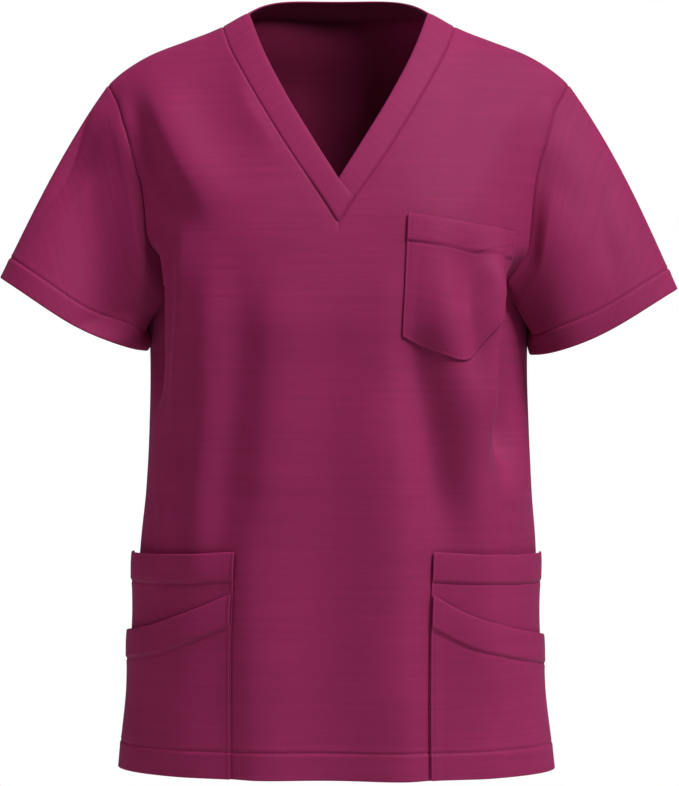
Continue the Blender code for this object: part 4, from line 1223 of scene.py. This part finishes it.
def lower_pocket(name, side, layer):
    slant_top = slant_top_left if side > 0 else slant_top_right
    tops = tall_top if layer == 1 else slant_top
    p = front[side]
    inset = 0.0 if layer == 1 else 0.0007
    width = 0.150
    qs = spaced_fixed(width, EDGE, CLOSE, 56) / width
    rows = 76 if layer == 1 else 64
    top = tops(qs)
    length = top - HEM_Z
    down = np.stack([spaced_fixed(L, POCKET_TOP_ROWS, HEM_ROWS, rows) for L in length], 1)
    z = top[None, :] - down
    q = np.repeat(qs[None, :], rows, 0)
    level = (z - UNDERARM_Z) / (UNDERARM_Z - HEM_Z)
    total = np.interp(level, DENSE, p.length)
    around = POCKET_INNER + inset + q * (total - POCKET_INNER - inset)
    share = around / total
    mid = p.at(level, share)
    nrm = unit(p.at(level, share, p.normal))
    border = q * (total - POCKET_INNER)
    seam = (1 - q) * (total - POCKET_INNER)
    mouth = near(mid, mid[0])
    lift = (CLOTH + 0.00035) * layer + patch_lift(border, 0.0012 if layer == 1 else 0.0008)
    # it stands off a little along its mouth, most at its proud corner
    gape = (1 - step(down / 0.055)) * (0.35 + 0.65 * np.maximum(np.sin(np.pi * np.clip(q * 1.05, 0, 1)), 0) ** 0.8)
    lift = lift + (0.0013 if layer == 1 else 0.0015) * gape * step(border / 0.010)
    flush = 1 - 0.8 * np.exp(-((seam / 0.022) ** 2))
    lift = lift + 0.00100 * flush * (1 - step((mouth - BAND_DEPTH + 0.0003) / 0.0014)) + stitched(mouth - BAND_DEPTH, 0.00090, 0.0010)
    lift = lift + 0.0005 * flush * np.maximum(np.sin(np.pi * np.clip(mouth / BAND_DEPTH, 0, 1)), 0) ** 0.6
    h = z - HEM_Z
    lift = lift + hem_lift(h, HEM_STITCH) * 0.9
    corner = PROUD[(layer, side)] * step((q - 0.35) / 0.65) * (1 - step(down / 0.085)) ** 1.5
    caught = np.exp(-((seam / 0.012) ** 2)) * step((down - 0.004) / 0.035)
    lift = lift * (1 - 0.45 * caught) + corner + groove(seam) * step((down - 0.010) / 0.020)
    thick = CLOTH * (1 + 0.9 * (1 - step((mouth - BAND_DEPTH) / 0.0012)))
    thick = thick * (1 - 0.2 * (1 - step(border / 0.004)))
    uv = np.stack([side * around, z], -1)
    ob, outside = cloth_grid(name, mid, nrm, lift, thick, side > 0, uv, (0.0008, 0.0008, 0.0007, 0.0002))
    band = POCKET_TOP_ROWS.index(BAND_DEPTH)
    e = EDGE.index(0.0020)
    hem = rows - 1 - HEM_ROWS.index(0.0229)
    lines = [(outside[band, 2:-2], nrm[band, 2:-2])]
    if layer == 2:
        lines.append((outside[3:, e], nrm[3:, e]))
        lines.append((outside[hem, 2:-2], nrm[hem, 2:-2]))
    else:
        stop = int(np.argmax(z[:, 0] < float(slant_top(0.0)) + 0.002))
        lines.append((outside[3:stop, e], nrm[3:stop, e]))
    return ob, lines


for layer, kind in ((1, "tall"), (2, "slant")):
    for side, word in ((1, "left"), (-1, "right")):
        ob, lines = lower_pocket(f"pocket_{kind}_{word}_cloth", side, layer)
        finish_piece(ob, [f"pocket_{kind}_{word}"], POCKET)
        stitch_rows(f"pocket_{kind}_{word}_stitches", lines, POCKET)

# ------------------------------------------------------------ floor, light, camera
floor_mesh = bpy.data.meshes.new("floor")
ring = [(2.6 * math.cos(2 * math.pi * k / 64), 2.6 * math.sin(2 * math.pi * k / 64), -1.35) for k in range(64)]
floor_mesh.from_pydata(ring, [], [tuple(range(64))])
floor = bpy.data.objects.new("floor", floor_mesh)
bpy.context.scene.collection.objects.link(floor)
floor_material = bpy.data.materials.new("floor_pale")
floor_material.use_nodes = True
floor_material.node_tree.nodes["Principled BSDF"].inputs["Base Color"].default_value = (0.72, 0.72, 0.72, 1)
floor_material.node_tree.nodes["Principled BSDF"].inputs["Roughness"].default_value = 0.9
floor_mesh.materials.append(floor_material)

AIM = Vector((0.00087, 0.0, -0.321))


def area_light(name, azimuth, elevation, distance, size, power, colour=(1, 1, 1)):
    data = bpy.data.lights.new(name, "AREA")
    data.shape = "SQUARE"
    data.size = size
    data.energy = power
    data.color = colour
    ob = bpy.data.objects.new(name, data)
    bpy.context.scene.collection.objects.link(ob)
    a, e = math.radians(azimuth), math.radians(elevation)
    spot = Vector((math.sin(a) * math.cos(e), -math.cos(a) * math.cos(e), math.sin(e))) * distance
    ob.location = AIM + spot
    ob.rotation_euler = (-spot).to_track_quat("-Z", "Y").to_euler()
    return ob


area_light("key", 49, 50, 8.0, 2.8, 780)
fill = area_light("fill", -72, 38, 2.8, 1.6, 22, (1.0, 0.80, 0.90))
fill.visible_glossy = False
behind = area_light("behind", 172, 34, 6.0, 2.4, 140)
behind.visible_glossy = False

world = bpy.data.worlds.new("studio")
bpy.context.scene.world = world
world.use_nodes = True
wt = world.node_tree
wn, wl = wt.nodes, wt.links
for node in list(wn):
    wn.remove(node)
out = wn.new("ShaderNodeOutputWorld")
seen = wn.new("ShaderNodeBackground")
seen.inputs["Color"].default_value = (1, 1, 1, 1)
seen.inputs["Strength"].default_value = 1.0
soft = wn.new("ShaderNodeBackground")
coords = wn.new("ShaderNodeTexCoord")
split = wn.new("ShaderNodeSeparateXYZ")
ramp = wn.new("ShaderNodeMapRange")
ramp.inputs["From Min"].default_value = -1.0
ramp.inputs["From Max"].default_value = 1.0
ramp.inputs["To Min"].default_value = 0.0
ramp.inputs["To Max"].default_value = 0.115
wl.new(coords.outputs["Generated"], split.inputs["Vector"])
wl.new(split.outputs["Z"], ramp.inputs["Value"])
soft.inputs["Color"].default_value = (1, 1, 1, 1)
wl.new(ramp.outputs["Result"], soft.inputs["Strength"])
path = wn.new("ShaderNodeLightPath")
mixw = wn.new("ShaderNodeMixShader")
wl.new(path.outputs["Is Camera Ray"], mixw.inputs[0])
wl.new(soft.outputs["Background"], mixw.inputs[1])
wl.new(seen.outputs["Background"], mixw.inputs[2])
wl.new(mixw.outputs["Shader"], out.inputs["Surface"])

bpy.context.scene.view_settings.view_transform = "Standard"

camera_data = bpy.data.cameras.new("camera")
camera_data.sensor_fit = "AUTO"
camera_data.sensor_width = 36.0
camera_data.lens = 3162 / 786 * 36
camera_data.clip_end = 50
camera = bpy.data.objects.new("camera", camera_data)
camera.location = (AIM.x, -2.75, AIM.z)
camera.rotation_euler = (math.radians(90), 0, 0)
bpy.context.scene.collection.objects.link(camera)
bpy.context.scene.camera = camera

bpy.context.view_layer.update()
